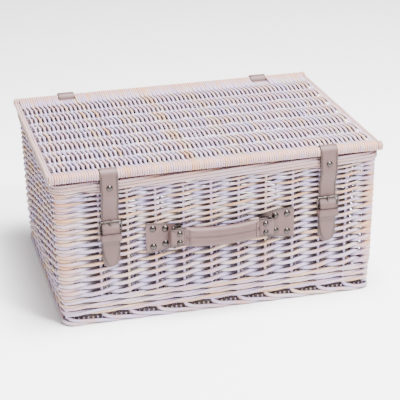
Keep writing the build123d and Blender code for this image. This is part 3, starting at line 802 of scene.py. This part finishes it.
class Leather:
    """Strips of leather collected into one mesh, with straightened coordinates for the grain
    and a value that is 1 along the cut edges."""

    def __init__(self):
        self.points, self.faces = [], []
        self.kept = {"grain": [], "edge": []}
        self.count = 0

    def sweep(self, middle, across, normal, width, thickness):
        """A strip along middle. across and normal are directions at each point, and width is
        one number or one for each point."""
        n = len(middle)
        across, normal = each(across, n, 3)[:, None, :], each(normal, n, 3)[:, None, :]
        flat = np.array([-1, -0.94, -0.66, -0.33, 0, 0.33, 0.66, 0.94, 1])
        corner = np.radians([60, 30, 0, -30, -60])
        face, bend = np.ones(len(flat)), np.ones(len(corner))
        # The section: the face, one rounded edge, the back and the other edge.
        side = np.concatenate([flat, bend, -flat, -bend])
        inset = np.concatenate([face, 1 - np.cos(corner), face, 1 - np.cos(corner)])
        fallen = face - EDGE_FALL * np.abs(flat) ** 6
        rise = thickness / 2 * np.concatenate([fallen, np.sin(corner), -fallen, -np.sin(corner)])
        # The edges and a little of each face beside them are dark: partly burnished leather, partly a
        # painted shadow outline.
        cut_edge = np.concatenate([0 * face, bend, 0 * face, bend])
        cut_edge[[0, 8, 14, 22]] = 1.0
        cut_edge[[1, 7, 15, 21]] = 0.3
        half = each(width, n)[:, None] / 2
        depth = thickness / 2 * 0.9
        inner = side * (half - depth)
        outer = np.sign(side) * (half - depth * inset)
        a = np.where(np.abs(side) < 1, inner, outer)
        ring = middle[:, None, :] + a[:, :, None] * across + rise[None, :, None] * normal
        along = (lengths(middle) + RANDOM.uniform(0, 9))[:, None]
        grain = np.stack(np.broadcast_arrays(along, a, rise), -1)
        index = self.count + np.arange(a.size).reshape(a.shape)
        after = np.roll(index, -1, 1)
        quads = np.stack([index[:-1], index[1:], after[1:], after[:-1]], -1).reshape(-1, 4)
        self.faces += [*quads.tolist(), index[0].tolist(), index[-1][::-1].tolist()]
        self.points.append(ring.reshape(-1, 3))
        self.kept["grain"].append(grain.reshape(-1, 3))
        self.kept["edge"].append(np.broadcast_to(cut_edge, a.shape).ravel())
        self.count += a.size

    def in_yz(self, x, yz, width, thickness, outward=1):
        """A strip whose middle line lies in a YZ plane. outward turns its face round."""
        along = directions(yz)
        normal = np.column_stack([np.zeros(len(yz)), along[:, 1], -along[:, 0]]) * outward
        middle = np.column_stack([np.full(len(yz), x), yz])
        self.sweep(middle, (outward, 0, 0), normal, width, thickness)

    def in_xy(self, z, xy, width, thickness, outward=1):
        """A strip whose middle line lies level. z may be one height for each point."""
        along = directions(xy)
        normal = np.column_stack([along[:, 1], -along[:, 0], np.zeros(len(xy))]) * outward
        middle = np.column_stack([xy, each(z, len(xy))])
        self.sweep(middle, (0, 0, -outward), normal, width, thickness)

    def piece(self, name):
        mesh = bpy.data.meshes.new(name)
        mesh.from_pydata(np.concatenate(self.points).tolist(), [], self.faces)
        mesh.polygons.foreach_set("use_smooth", np.ones(len(mesh.polygons), bool))
        keep_values(mesh, self.kept)
        return new_object(name, mesh, LEATHER)


def tongue_width(path, full, reach):
    """The width along a path whose end is cut to half an ellipse, reach long."""
    along = lengths(path)
    inside = np.clip(1 - (along[-1] - along) / reach, 0, 0.995)
    return full * np.sqrt(1 - inside**2)


def stitch_run(strands, start, end):
    """A line of stitches between two points, each dipping in at its ends."""
    start, end, facing = (np.asarray(v, float) for v in (start, end, (0, -1, 0)))
    total = np.linalg.norm(end - start)
    way = (end - start) / total
    count = max(1, int(total / (STITCH + STITCH_GAP)))
    pitch = total / count
    t = np.linspace(0, 1, 6)[:, None]
    lift = np.sin(math.pi * t) * 0.5 * SEAM_RADIUS - 0.2 * SEAM_RADIUS
    for k in range(count):
        first = start + way * (k * pitch + STITCH_GAP / 2)
        path = first + way * (t * (pitch - STITCH_GAP)) + facing * lift
        strands.add(path, SEAM_RADIUS, facing, 0.5)


def front_strap(side):
    """One front strap: looped round the lid's front roll, doubled down past the stud, then
    in to the wall, out over the buckle's heel bar, through the keeper and down to its tip."""
    low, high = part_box("strap_loop_" + side)
    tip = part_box("strap_tail_" + side)[0].z
    x = (low.x + high.x) / 2
    width = high.x - low.x
    half = STRAP_THICKNESS / 2
    ring = LID_FRONT - low.y - half
    turn = wrap(LID_FRONT, LID_Z, ring, math.radians(-125), math.radians(305), 40)
    top_y = low.y + half
    inner_y = top_y + STRAP_THICKNESS
    lower = [(inner_y, low.z + 1 * MM), (inner_y, LID_Z - ring - 1.2 * MM)]
    tail = [
        (top_y, low.z), (top_y, low.z - 5 * MM),
        (TAIL_WALL_Y, TAIL_WALL_TOP), (TAIL_WALL_Y, TAIL_WALL_BOTTOM),
        (TAIL_OVER_Y, TAIL_OVER_TOP), (TAIL_OVER_Y, TAIL_OVER_BOTTOM),
        (TAIL_FLAT_Y, TAIL_FLAT_TOP), (TAIL_FLAT_Y, tip),
    ]
    path = np.concatenate([rounded(lower, 1.5 * MM, 2), turn, rounded(tail, 1.2 * MM, 5)])
    path = finer_end(relax(path, 2), TIP_REACH)
    leather = Leather()
    leather.in_yz(x, path, tongue_width(path, width - 0.4 * MM, TIP_REACH), STRAP_THICKNESS, -1)
    return leather.piece("front_strap_" + side), edge_stitches(side, x, width, path)


def edge_stitches(side, x, width, path):
    """Two lines of stitches down the strap, from its top bend to the buckle."""
    along = directions(path)
    face = path + STRAP_THICKNESS / 2 * np.column_stack([along[:, 1], -along[:, 0]])
    # The last points that lie high on the strap and low on it.
    first, last = (np.flatnonzero(path[:, 1] > z)[-1] for z in (STITCH_TOP, TAIL_WALL_BOTTOM))
    # Each stitch takes four points of the run and leaves out the fifth.
    run = even(face[first:last], STITCH / 4)
    thread = Strands(sides=6)
    for direction in SIDES.values():
        place = x + direction * (width / 2 - STITCH_INSET)
        for k in range(0, len(run) - 4, 5):
            yz = run[k:k + 4]
            points = np.column_stack([np.full(len(yz), place), yz])
            thread.add(points, THREAD_RADIUS, (1, 0, 0), 0.5)
    return thread.piece("strap_stitches_" + side, THREAD)


def hinge_strap(side):
    """A back strap: a loop round the lid's back roll with its tail down the back wall."""
    low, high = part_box("hinge_strap_" + side)
    x = (low.x + high.x) / 2
    back = high.y - STRAP_THICKNESS / 2
    turn = wrap(LID_BACK, LID_Z, back - LID_BACK, math.radians(-50), math.radians(350), 44)
    tail = [
        (back, LID_Z - 1 * MM), (back, HINGE_TURN_HEIGHT),
        (HINGE_TAIL_Y, HINGE_WALL_TOP), (HINGE_TAIL_Y, low.z),
    ]
    leather = Leather()
    leather.in_yz(x, turn[::-1], high.x - low.x, STRAP_THICKNESS)
    leather.in_yz(x, rounded(tail, 1.5 * MM, 4), high.x - low.x, STRAP_THICKNESS, -1)
    return leather.piece("hinge_strap_piece_" + side)


def buckle_tab(side):
    """The lower strap: fixed to the wall, with its end turned round the heel bar in two
    wings, one each side of the prong."""
    low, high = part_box("buckle_tab_" + side)
    x = (low.x + high.x) / 2
    full = high.x - low.x
    wing = (full - TAB_GAP) / 2
    back = high.y - TAB_THICKNESS / 2
    heel_y = high.y - (high.z - HEEL_HEIGHT)
    turn = wrap(heel_y, HEEL_HEIGHT, back - heel_y, 0, math.radians(300), 30)
    down = rounded([(back, low.z), (back, HEEL_HEIGHT - 1 * MM)], 1.5 * MM, 1)
    # The lower part, from its top down to its rounded end.
    lower = finer_end(down[down[:, 1] < HEEL_HEIGHT - 4 * MM][::-1], TAB_ROUNDING)
    upper = np.concatenate([down[down[:, 1] >= HEEL_HEIGHT - 6 * MM], turn])
    leather = Leather()
    leather.in_yz(x, lower, tongue_width(lower, full, TAB_ROUNDING), TAB_THICKNESS, -1)
    for direction in SIDES.values():
        leather.in_yz(x + direction * (TAB_GAP + wing) / 2, upper, wing, TAB_THICKNESS)
    return leather.piece("buckle_tab_piece_" + side)


def keeper(side):
    """The keeper: a band round the strap, fixed to the tab's edges."""
    low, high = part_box("keeper_" + side)
    half = KEEPER_THICKNESS / 2
    left, right = low.x + half, high.x - half
    front, back = low.y + half, high.y - 0.2 * MM
    xy = rounded([(left, back), (left, front), (right, front), (right, back)], 0.8 * MM, 4)
    leather = Leather()
    leather.in_xy((low.z + high.z) / 2, xy, high.z - low.z, KEEPER_THICKNESS)
    return leather.piece("keeper_piece_" + side)


def handle_part(name, side):
    """The box of a part of the handle and the X of its two ends, the outer one first."""
    low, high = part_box(name + side)
    outer, inner = (low.x, high.x) if side == "left" else (high.x, low.x)
    return low, high, outer, inner


def fold(bar_x, bar_y, direction, reach, start, sweep, steps):
    """Points round a ring's upright bar, mirrored for the left side."""
    turn = wrap(0, 0, reach, start, sweep, steps)
    return np.column_stack([bar_x + direction * turn[:, 0], bar_y + turn[:, 1]])


def handle_plate(side):
    """The plate riveted to the wall, a little narrower towards the handle."""
    low, high, outer, inner = handle_part("handle_plate_", side)
    tongue_low, tongue_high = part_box("handle_tongue_" + side)
    direction = SIDES[side]
    # The points lie closer where the outer corners are rounded off.
    share = 1 - np.cos(np.linspace(0, math.pi / 2, 8))
    straight = np.linspace(outer - direction * 4 * MM, inner, 20)
    x = np.concatenate([outer - direction * PLATE_CORNER * share, straight])
    run = np.abs(x - inner) / abs(outer - inner)
    wide, narrow = high.z - low.z, tongue_high.z - tongue_low.z
    short = np.clip(PLATE_CORNER - np.abs(x - outer), 0, PLATE_CORNER)
    width = narrow + (wide - narrow) * run
    width = width - 2 * (PLATE_CORNER - np.sqrt(PLATE_CORNER**2 - short**2))
    z_outer, z_inner = (low.z + high.z) / 2, (tongue_low.z + tongue_high.z) / 2
    z = z_inner + (z_outer - z_inner) * run
    xy = np.column_stack([x, np.full(len(x), (low.y + high.y) / 2)])
    leather = Leather()
    leather.in_xy(z, xy, width, high.y - low.y, direction)
    return leather.piece("handle_plate_piece_" + side)


def handle_tongue(side):
    """The plate's narrow end, turned round the ring's inner bar and back underneath. Given
    with the points at its outer end and at the ring's bar."""
    low, high, outer, _ = handle_part("handle_tongue_", side)
    ring_low, ring_high, _, ring_inner = handle_part("handle_ring_", side)
    direction = SIDES[side]
    bar_x = ring_inner + direction * WIRE_RADIUS
    bar_y = ring_high.y - WIRE_RADIUS
    reach = WIRE_RADIUS + 0.2 * MM + FOLD_THICKNESS / 2
    flat = even([(outer, bar_y + reach), (bar_x + direction * 0.5 * MM, bar_y + reach)], 1.2 * MM)
    turn = fold(bar_x, bar_y, direction, reach, math.pi / 2, math.radians(285), 26)
    xy = np.concatenate([flat, turn])
    run = np.clip(np.abs(xy[:, 0] - bar_x) / abs(outer - bar_x), 0, 1)
    run[-len(turn):] = 0
    ring_z, plate_z = (ring_low.z + ring_high.z) / 2, (low.z + high.z) / 2
    width = TONGUE_HEIGHT + (high.z - low.z - TONGUE_HEIGHT) * run
    leather = Leather()
    leather.in_xy(ring_z + (plate_z - ring_z) * run, xy, width, FOLD_THICKNESS, direction)
    piece = leather.piece("handle_tongue_piece_" + side)
    return piece, (outer, bar_y, ring_z), (bar_x, bar_y, ring_z)


def handle_end(side):
    """The loop at the handle's end, folded round the ring's outer bar, and its stitches."""
    low, high, outer, inner = handle_part("handle_end_", side)
    direction = SIDES[side]
    depth = (high.y - low.y) / 2
    reach = depth - FOLD_THICKNESS / 2
    middle_y = (low.y + high.y) / 2
    bar_x = outer - direction * depth
    near_bar = bar_x - direction * 0.5 * MM
    turn = fold(bar_x, middle_y, direction, reach, -math.pi / 2, math.pi, 18)
    front = even([(inner, middle_y - reach), (near_bar, middle_y - reach)], 1.5 * MM)
    rear = even([(near_bar, middle_y + reach), (inner, middle_y + reach)], 1.5 * MM)
    leather = Leather()
    xy = np.concatenate([front, turn, rear])
    leather.in_xy((low.z + high.z) / 2, xy, high.z - low.z, FOLD_THICKNESS, -direction)
    piece = leather.piece("handle_end_piece_" + side)
    thread = Strands(sides=6)
    face = middle_y - reach - FOLD_THICKNESS / 2
    near, far = inner + direction * END_STITCH_INSET, outer - direction * 3.4 * MM
    bottom, top = low.z + END_STITCH_INSET, high.z - END_STITCH_INSET
    for height in (bottom, top):
        stitch_run(thread, (near, face, height), (far, face, height))
    stitch_run(thread, (near, face, bottom), (near, face, top))
    return piece, thread.piece("handle_end_stitches_" + side, THREAD)


def grip():
    """The padded grip: two soft rolls side by side with a seam between, sagging a little."""
    low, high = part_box("handle_grip")
    end_low, end_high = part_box("handle_end_left")
    middle_y = (low.y + high.y) / 2
    end_z = (end_low.z + end_high.z) / 2
    sag = (end_z - low.z) - (high.z - end_z)
    depth = (high.y - low.y) / 2
    tall = (high.z - low.z - sag) / 2
    half = (high.x - low.x) / 2
    rings, sides, lobe = 90, 56, 0.5
    t = TURN * (np.arange(sides) + 0.5) / sides
    up = np.sin(t)
    bulge = np.sqrt(np.clip(1 - ((np.abs(up) - lobe) / 0.53) ** 2, 0.0, 1))
    shape = np.where(np.abs(up) < lobe, np.maximum(bulge, 0.42), bulge) * np.sign(np.cos(t))
    leather = Leather()
    for x in np.linspace(-half, half, rings):
        # Fuller away from its two ends, and faintly wrinkled.
        full = 0.62 + 0.38 * smooth(np.clip((half - abs(x)) / (9 * MM), 0, 1))
        wrinkle = 1 + 0.012 * math.sin(x * 900 + 1.3) * math.sin(x * 310)
        y = middle_y + depth * full * wrinkle * shape
        z = end_z - sag * (1 - (x / half) ** 2) + tall * up
        leather.points.append(np.column_stack([np.full(sides, x), y, z]))
        leather.kept["grain"].append(np.column_stack([np.full(sides, x), t * 8 * MM, np.zeros(sides)]))
        leather.kept["edge"].append(np.zeros(sides))
    index = np.arange(rings * sides).reshape(rings, sides)
    after = np.roll(index, -1, 1)
    quads = np.stack([index[:-1], after[:-1], after[1:], index[1:]], -1).reshape(-1, 4)
    leather.faces = [*quads.tolist(), index[0][::-1].tolist(), index[-1].tolist()]
    piece = leather.piece("padded_grip")
    thread = Strands(sides=6)
    reach, face = tall * 0.86, middle_y - depth * 0.86
    for direction in SIDES.values():
        x = direction * (half - 4.5 * MM)
        z = end_z - sag * (1 - (x / half) ** 2)
        stitch_run(thread, (x, face, z - reach), (x, face, z + reach))
    return piece, thread.piece("grip_stitches", THREAD)


# ------------ materials

class Nodes:
    """A small helper for building a material's node tree."""

    def __init__(self, name):
        self.material = bpy.data.materials.new(name)
        self.material.use_nodes = True
        self.tree = self.material.node_tree
        self.shader = self.tree.nodes["Principled BSDF"]

    def add(self, kind, inputs=None, **settings):
        node = self.tree.nodes.new(kind)
        for key, value in settings.items():
            setattr(node, key, value)
        for key, value in (inputs or {}).items():
            self.feed(node.inputs[key], value)
        return node

    def feed(self, socket, value):
        if isinstance(value, bpy.types.NodeSocket):
            self.tree.links.new(value, socket)
        else:
            socket.default_value = value

    def kept(self, name, output="Fac"):
        """A value that the mesh keeps for each of its points."""
        return self.add("ShaderNodeAttribute", attribute_name=name).outputs[output]

    def stretched(self, source, scale):
        inputs = {0: source, 1: scale}
        return self.add("ShaderNodeVectorMath", inputs, operation="MULTIPLY").outputs["Vector"]

    def noise(self, vector, detail=3.0, scale=1.0, roughness=0.5):
        inputs = {"Vector": vector, "Scale": scale, "Detail": detail, "Roughness": roughness}
        return self.add("ShaderNodeTexNoise", inputs).outputs["Fac"]

    def ramp(self, value, stops):
        node = self.add("ShaderNodeValToRGB", {"Fac": value})
        elements = node.color_ramp.elements
        while len(elements) < len(stops):
            elements.new(0.5)
        for element, (place, colour) in zip(elements, stops, strict=True):
            element.position = place
            element.color = (*colour, 1.0)
        return node.outputs["Color"]

    def above(self, value, start, stop):
        """Black below start and white above stop."""
        return self.ramp(value, [(start, (0, 0, 0)), (stop, (1, 1, 1))])

    def spread(self, value, low, high, start=0.0, stop=1.0):
        """The value's run from start to stop, spread from low to high."""
        inputs = {"Value": value, "From Min": start, "From Max": stop, "To Min": low, "To Max": high}
        return self.add("ShaderNodeMapRange", inputs).outputs["Result"]

    def math(self, operation, a, b, clamp=False):
        inputs = {0: a, 1: b}
        return self.add("ShaderNodeMath", inputs, operation=operation, use_clamp=clamp).outputs[0]

    def mix(self, share, a, b):
        node = self.add("ShaderNodeMix", data_type="RGBA", blend_type="MIX")
        for key, value in ((0, share), (6, a), (7, b)):
            self.feed(node.inputs[key], value)
        return node.outputs[2]

    def tint(self, mask, strength, colour, tint, clamp=False):
        """The colour, mixed towards a tint where the mask shows."""
        return self.mix(self.math("MULTIPLY", mask, strength, clamp), colour, (*tint, 1))

    def bump(self, height, distance, strength=1.0, before=None):
        inputs = {"Height": height, "Distance": distance, "Strength": strength}
        if before is not None:
            inputs["Normal"] = before
        return self.add("ShaderNodeBump", inputs).outputs["Normal"]

    def finished(self, inputs):
        """The material, with the last inputs set on its shader."""
        for key, value in inputs.items():
            self.feed(self.shader.inputs[key], value)
        return self.material


def willow(name, tones, grain_depth, roughness):
    """Peeled willow under a thin white wash. Each rod's tone is kept in its mesh, and so are its
    peach, partly scuffed wash that lets the wood through and partly a painted warm highlight, and its
    painted shade."""
    nodes = Nodes(name)
    grain = nodes.kept("grain", "Vector")
    patches = nodes.noise(nodes.stretched(grain, (28, 260, 260)), detail=2.0)
    shift = nodes.math("MULTIPLY", nodes.math("SUBTRACT", patches, 0.5), 0.6)
    colour = nodes.ramp(nodes.math("ADD", nodes.kept("tone"), shift, clamp=True), tones)
    # Peach on proud parts: partly scuffed wash, partly a painted warm highlight.
    peach_wear_and_light_mask = nodes.math("MULTIPLY", nodes.kept("worn"), nodes.math("ADD", patches, 0.25))
    colour = nodes.tint(peach_wear_and_light_mask, 0.95, colour, RUBBED_AND_LIT_PEACH, clamp=True)
    streaks = nodes.noise(nodes.stretched(grain, (90, 2600, 2600)), detail=4.0, roughness=0.6)
    colour = nodes.tint(nodes.above(streaks, 0.50, 0.72), 0.30, colour, BARE_WOOD)
    specks = nodes.noise(nodes.stretched(grain, (420, 900, 900)), detail=1.0)
    colour = nodes.tint(nodes.above(specks, 0.70, 0.76), 0.45, colour, BUD_MARKS)
    # Painted shade in the weave's recesses.
    colour = nodes.tint(nodes.kept("deep"), 0.85, colour, DEEP_SHADE)
    fine = nodes.bump(streaks, grain_depth)
    return nodes.finished({
        "Base Color": colour,
        "Roughness": nodes.spread(streaks, roughness - 0.08, roughness + 0.14),
        "Specular IOR Level": 0.35,
        "Normal": nodes.bump(patches, 0.25 * MM, 0.5, before=fine),
    })


def leather(name, colour, dark):
    """Smooth dyed leather: fine pebbling, faint mottling and darker cut edges, partly burnished and partly
    a painted shadow outline.
    """
    nodes = Nodes(name)
    grain = nodes.kept("grain", "Vector")
    inputs = {"Vector": grain, "Scale": 1300.0}
    cells = nodes.add("ShaderNodeTexVoronoi", inputs, feature="DISTANCE_TO_EDGE")
    pebble = nodes.math("MINIMUM", cells.outputs["Distance"], 0.22)
    cloud = nodes.noise(grain, detail=4.0, scale=90.0)
    broad = nodes.noise(grain, detail=2.0, scale=22.0)
    base = nodes.mix(nodes.spread(cloud, 0, 1, start=0.3, stop=0.7), (*dark, 1), (*colour, 1))
    base = nodes.mix(nodes.spread(broad, 0, 0.25, start=0.3, stop=0.7), base, (*PALE_LEATHER, 1))
    base = nodes.tint(nodes.math("LESS_THAN", pebble, 0.035), 0.18, base, CREASES)
    # Dark cut edges: partly burnished, partly a painted shadow outline round each strip.
    base = nodes.tint(nodes.kept("edge"), 0.85, base, BURNISHED_EDGE_AND_SHADOW)
    pores = nodes.bump(pebble, 0.06 * MM, 0.6)
    return nodes.finished({
        "Base Color": base,
        "Roughness": nodes.spread(cloud, 0.42, 0.62),
        "Specular IOR Level": 0.42,
        "Normal": nodes.bump(cloud, 0.3 * MM, 0.25, before=pores),
    })


def plated(name, colour, roughness):
    """Plated metal with handling marks."""
    nodes = Nodes(name)
    place = nodes.add("ShaderNodeTexCoord").outputs["Object"]
    marks = nodes.noise(nodes.stretched(place, (900, 900, 2400)), detail=4.0, roughness=0.65)
    clouds = nodes.noise(place, detail=2.0, scale=260.0)
    shade = nodes.spread(clouds, 0, 1, start=0.3, stop=0.7)
    dull = [0.62 * channel for channel in colour]
    return nodes.finished({
        "Base Color": nodes.mix(shade, (*dull, 1), (*colour, 1)),
        "Roughness": nodes.spread(marks, roughness - 0.06, roughness + 0.16, start=0.3, stop=0.7),
        "Metallic": 1.0,
        "Normal": nodes.bump(marks, 0.02 * MM, 0.35),
    })


def linen_thread(colour, dark):
    """Dyed thread with a twist."""
    nodes = Nodes("linen_thread")
    inputs = {"Vector": nodes.kept("grain", "Vector"), "Scale": 900.0, "Distortion": 1.5}
    twist = nodes.add("ShaderNodeTexWave", inputs).outputs["Fac"]
    return nodes.finished({
        "Base Color": nodes.mix(twist, (*dark, 1), (*colour, 1)),
        "Roughness": 0.8,
        "Normal": nodes.bump(twist, 0.1 * MM, 0.6),
    })


# Colours, as linear red, green and blue.
# Peach of scuffed wash and of painted warm light.
RUBBED_AND_LIT_PEACH = (0.50, 0.25, 0.135)
BARE_WOOD = (0.34, 0.25, 0.20)
BUD_MARKS = (0.20, 0.13, 0.10)
# The painted shade of the weave's recesses.
DEEP_SHADE = (0.035, 0.022, 0.017)
WASHED_TONES = [
    (0.00, (0.345, 0.29, 0.475)),
    (0.35, (0.425, 0.36, 0.475)),
    (0.60, (0.48, 0.385, 0.33)),
    (0.85, (0.45, 0.29, 0.20)),
    (1.00, (0.34, 0.20, 0.13)),
]
SMOOTH_TONES = [
    (0.00, (0.345, 0.28, 0.37)),
    (0.50, (0.375, 0.265, 0.28)),
    (1.00, (0.33, 0.21, 0.175)),
]
PALE_LEATHER = (0.16, 0.095, 0.09)
CREASES = (0.10, 0.06, 0.055)
# Burnished edges that also stand for a painted shadow outline.
BURNISHED_EDGE_AND_SHADOW = (0.035, 0.020, 0.018)

WILLOW = willow("limed_willow", WASHED_TONES, 0.12 * MM, 0.60)
WILLOW_SMOOTH = willow("limed_willow_rods", SMOOTH_TONES, 0.07 * MM, 0.52)
LEATHER = leather("dusty_leather", (0.104, 0.056, 0.054), (0.084, 0.044, 0.042))
# The nickel's colour is painted dark: a painted shade standing in for dark surroundings in its reflections.
NICKEL = plated("worn_nickel_painted_dark", (0.085, 0.073, 0.069), 0.25)
STEEL = plated("plain_steel", (0.55, 0.54, 0.53), 0.38)
THREAD = linen_thread((0.050, 0.030, 0.028), (0.026, 0.015, 0.014))


# ------------ camera, floor and light

def bearing(azimuth, elevation):
    """The direction at an angle round from +Y towards +X, and up."""
    level = math.cos(elevation)
    return Vector((math.sin(azimuth) * level, math.cos(azimuth) * level, math.sin(elevation)))


def camera():
    """The viewpoint: left of the front, above, and a long way off with a long lens."""
    azimuth, elevation, distance = math.radians(-13.56), math.radians(22.10), 2.11065
    yaw, pitch, roll = math.radians(13.97), math.radians(-22.13), math.radians(-1.1)
    middle = Vector((0, 0, 0.100))
    data = bpy.data.cameras.new("camera")
    data.sensor_width = 36.0
    data.lens = 127.1
    look = bearing(yaw, pitch)
    right = Vector((math.cos(yaw), -math.sin(yaw), 0))
    up = right.cross(look)
    turned_right = math.cos(roll) * right + math.sin(roll) * up
    turned_up = -math.sin(roll) * right + math.cos(roll) * up
    rotation = Matrix((turned_right, turned_up, -look)).transposed().to_4x4()
    rotation.translation = bearing(math.pi - azimuth, elevation) * distance + middle
    viewer = bpy.data.objects.new("camera", data)
    viewer.matrix_world = rotation
    bpy.context.scene.collection.objects.link(viewer)
    bpy.context.scene.camera = viewer


def floor():
    """The pale floor that the hamper stands on."""
    mesh = bpy.data.meshes.new("floor")
    mesh.from_pydata([(-4, -4, 0), (4, -4, 0), (4, 4, 0), (-4, 4, 0)], [], [(0, 1, 2, 3)])
    pale = Nodes("pale_floor").finished({"Base Color": (0.95, 0.95, 0.95, 1), "Roughness": 0.9})
    new_object("floor", mesh, pale)


def area_light(name, place, target, size, power):
    data = bpy.data.lights.new(name, "AREA")
    data.size = size
    data.energy = power
    lamp = bpy.data.objects.new(name, data)
    lamp.location = place
    lamp.rotation_euler = (Vector(target) - Vector(place)).to_track_quat("-Z", "Y").to_euler()
    bpy.context.scene.collection.objects.link(lamp)


def studio():
    """An even white surround, a key light from the right front and a broad light above."""
    world = bpy.data.worlds.new("studio")
    bpy.context.scene.world = world
    world.use_nodes = True
    background = world.node_tree.nodes["Background"]
    background.inputs["Color"].default_value = (1.0, 1.0, 1.0, 1)
    background.inputs["Strength"].default_value = 0.9
    area_light("key", (0.8, -1.6, 2.1), (0, 0, 0.1), 0.5, 140)
    area_light("top", (0.3, -0.3, 2.4), (0, 0, 0.2), 0.9, 260)


# ------------ putting it together

def put(piece, body, slot, *nodes):
    """Has a piece ride on a body and stand for the CAD's nodes that are named, if any."""
    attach(piece, body)
    if nodes:
        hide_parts(*nodes)


def put_strap(side):
    """A front strap and its stitches, which stand for the CAD's strap loop and tail."""
    strap, stitches = front_strap(side)
    loop, tail = "strap_loop_" + side, "strap_tail_" + side
    for piece in (strap, stitches):
        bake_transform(piece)
    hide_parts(loop, tail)


def put_handle_side(side):
    """A plate, the tongue between it and its ring, and an end of the handle."""
    put(handle_plate(side), "basket", "handle_leather", "handle_plate_" + side)
    tongue, start, end = handle_tongue(side)
    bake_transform(tongue)
    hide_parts("handle_tongue_" + side)
    loop, stitches = handle_end(side)
    put(loop, "handle", "handle_leather", "handle_end_" + side)
    put(stitches, "handle", "handle_leather")


camera()
floor()
studio()

for piece in siding():
    put(piece, "basket", "willow_weave", "siding")
put(lower_wale(), "basket", "willow_weave", "lower_wale")
put(foot_border(), "basket", "willow_weave", "foot_border")
put(stakes(), "basket", "willow_weave", "side_stakes", "corner_posts")
put(base_frame(), "basket", "willow_weave", "base_sticks")
for piece in base_panel():
    put(piece, "basket", "willow_weave", "base_weave")
put(rim_border(), "basket", "willow_rods", "rim_border")

for piece in lid_weave():
    put(piece, "lid", "willow_weave", "lid_weave")
LID_ROD_NODES = ["lid_sticks", "lid_front_rod", "lid_back_rod", "lid_side_rods"]
put(lid_frame(), "lid", "willow_rods", *LID_ROD_NODES)

for side in SIDES:
    put_strap(side)
    put(hinge_strap(side), "basket", "strap_leather", "hinge_strap_" + side)
    put(buckle_tab(side), "basket", "strap_leather", "buckle_tab_" + side)
    put(keeper(side), "basket", "strap_leather", "keeper_" + side)
    put_handle_side(side)

handle, stitches = grip()
put(handle, "handle", "handle_leather", "handle_grip")
put(stitches, "handle", "handle_leather")

PAIRED_METAL = ("strap_stud_", "buckle_frame_", "buckle_prong_", "handle_ring_")
METAL_NODES = {
    NICKEL: ["hinge_rivets", "handle_plate_rivets", "handle_end_rivets"],
    STEEL: ["tab_rivets", "rivet_washers"],
}
METAL_NODES[NICKEL] += [name + side for name in PAIRED_METAL for side in SIDES]
for metal, names in METAL_NODES.items():
    for name in names:
        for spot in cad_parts[name].material_slots:
            spot.link = "OBJECT"
            spot.material = metal
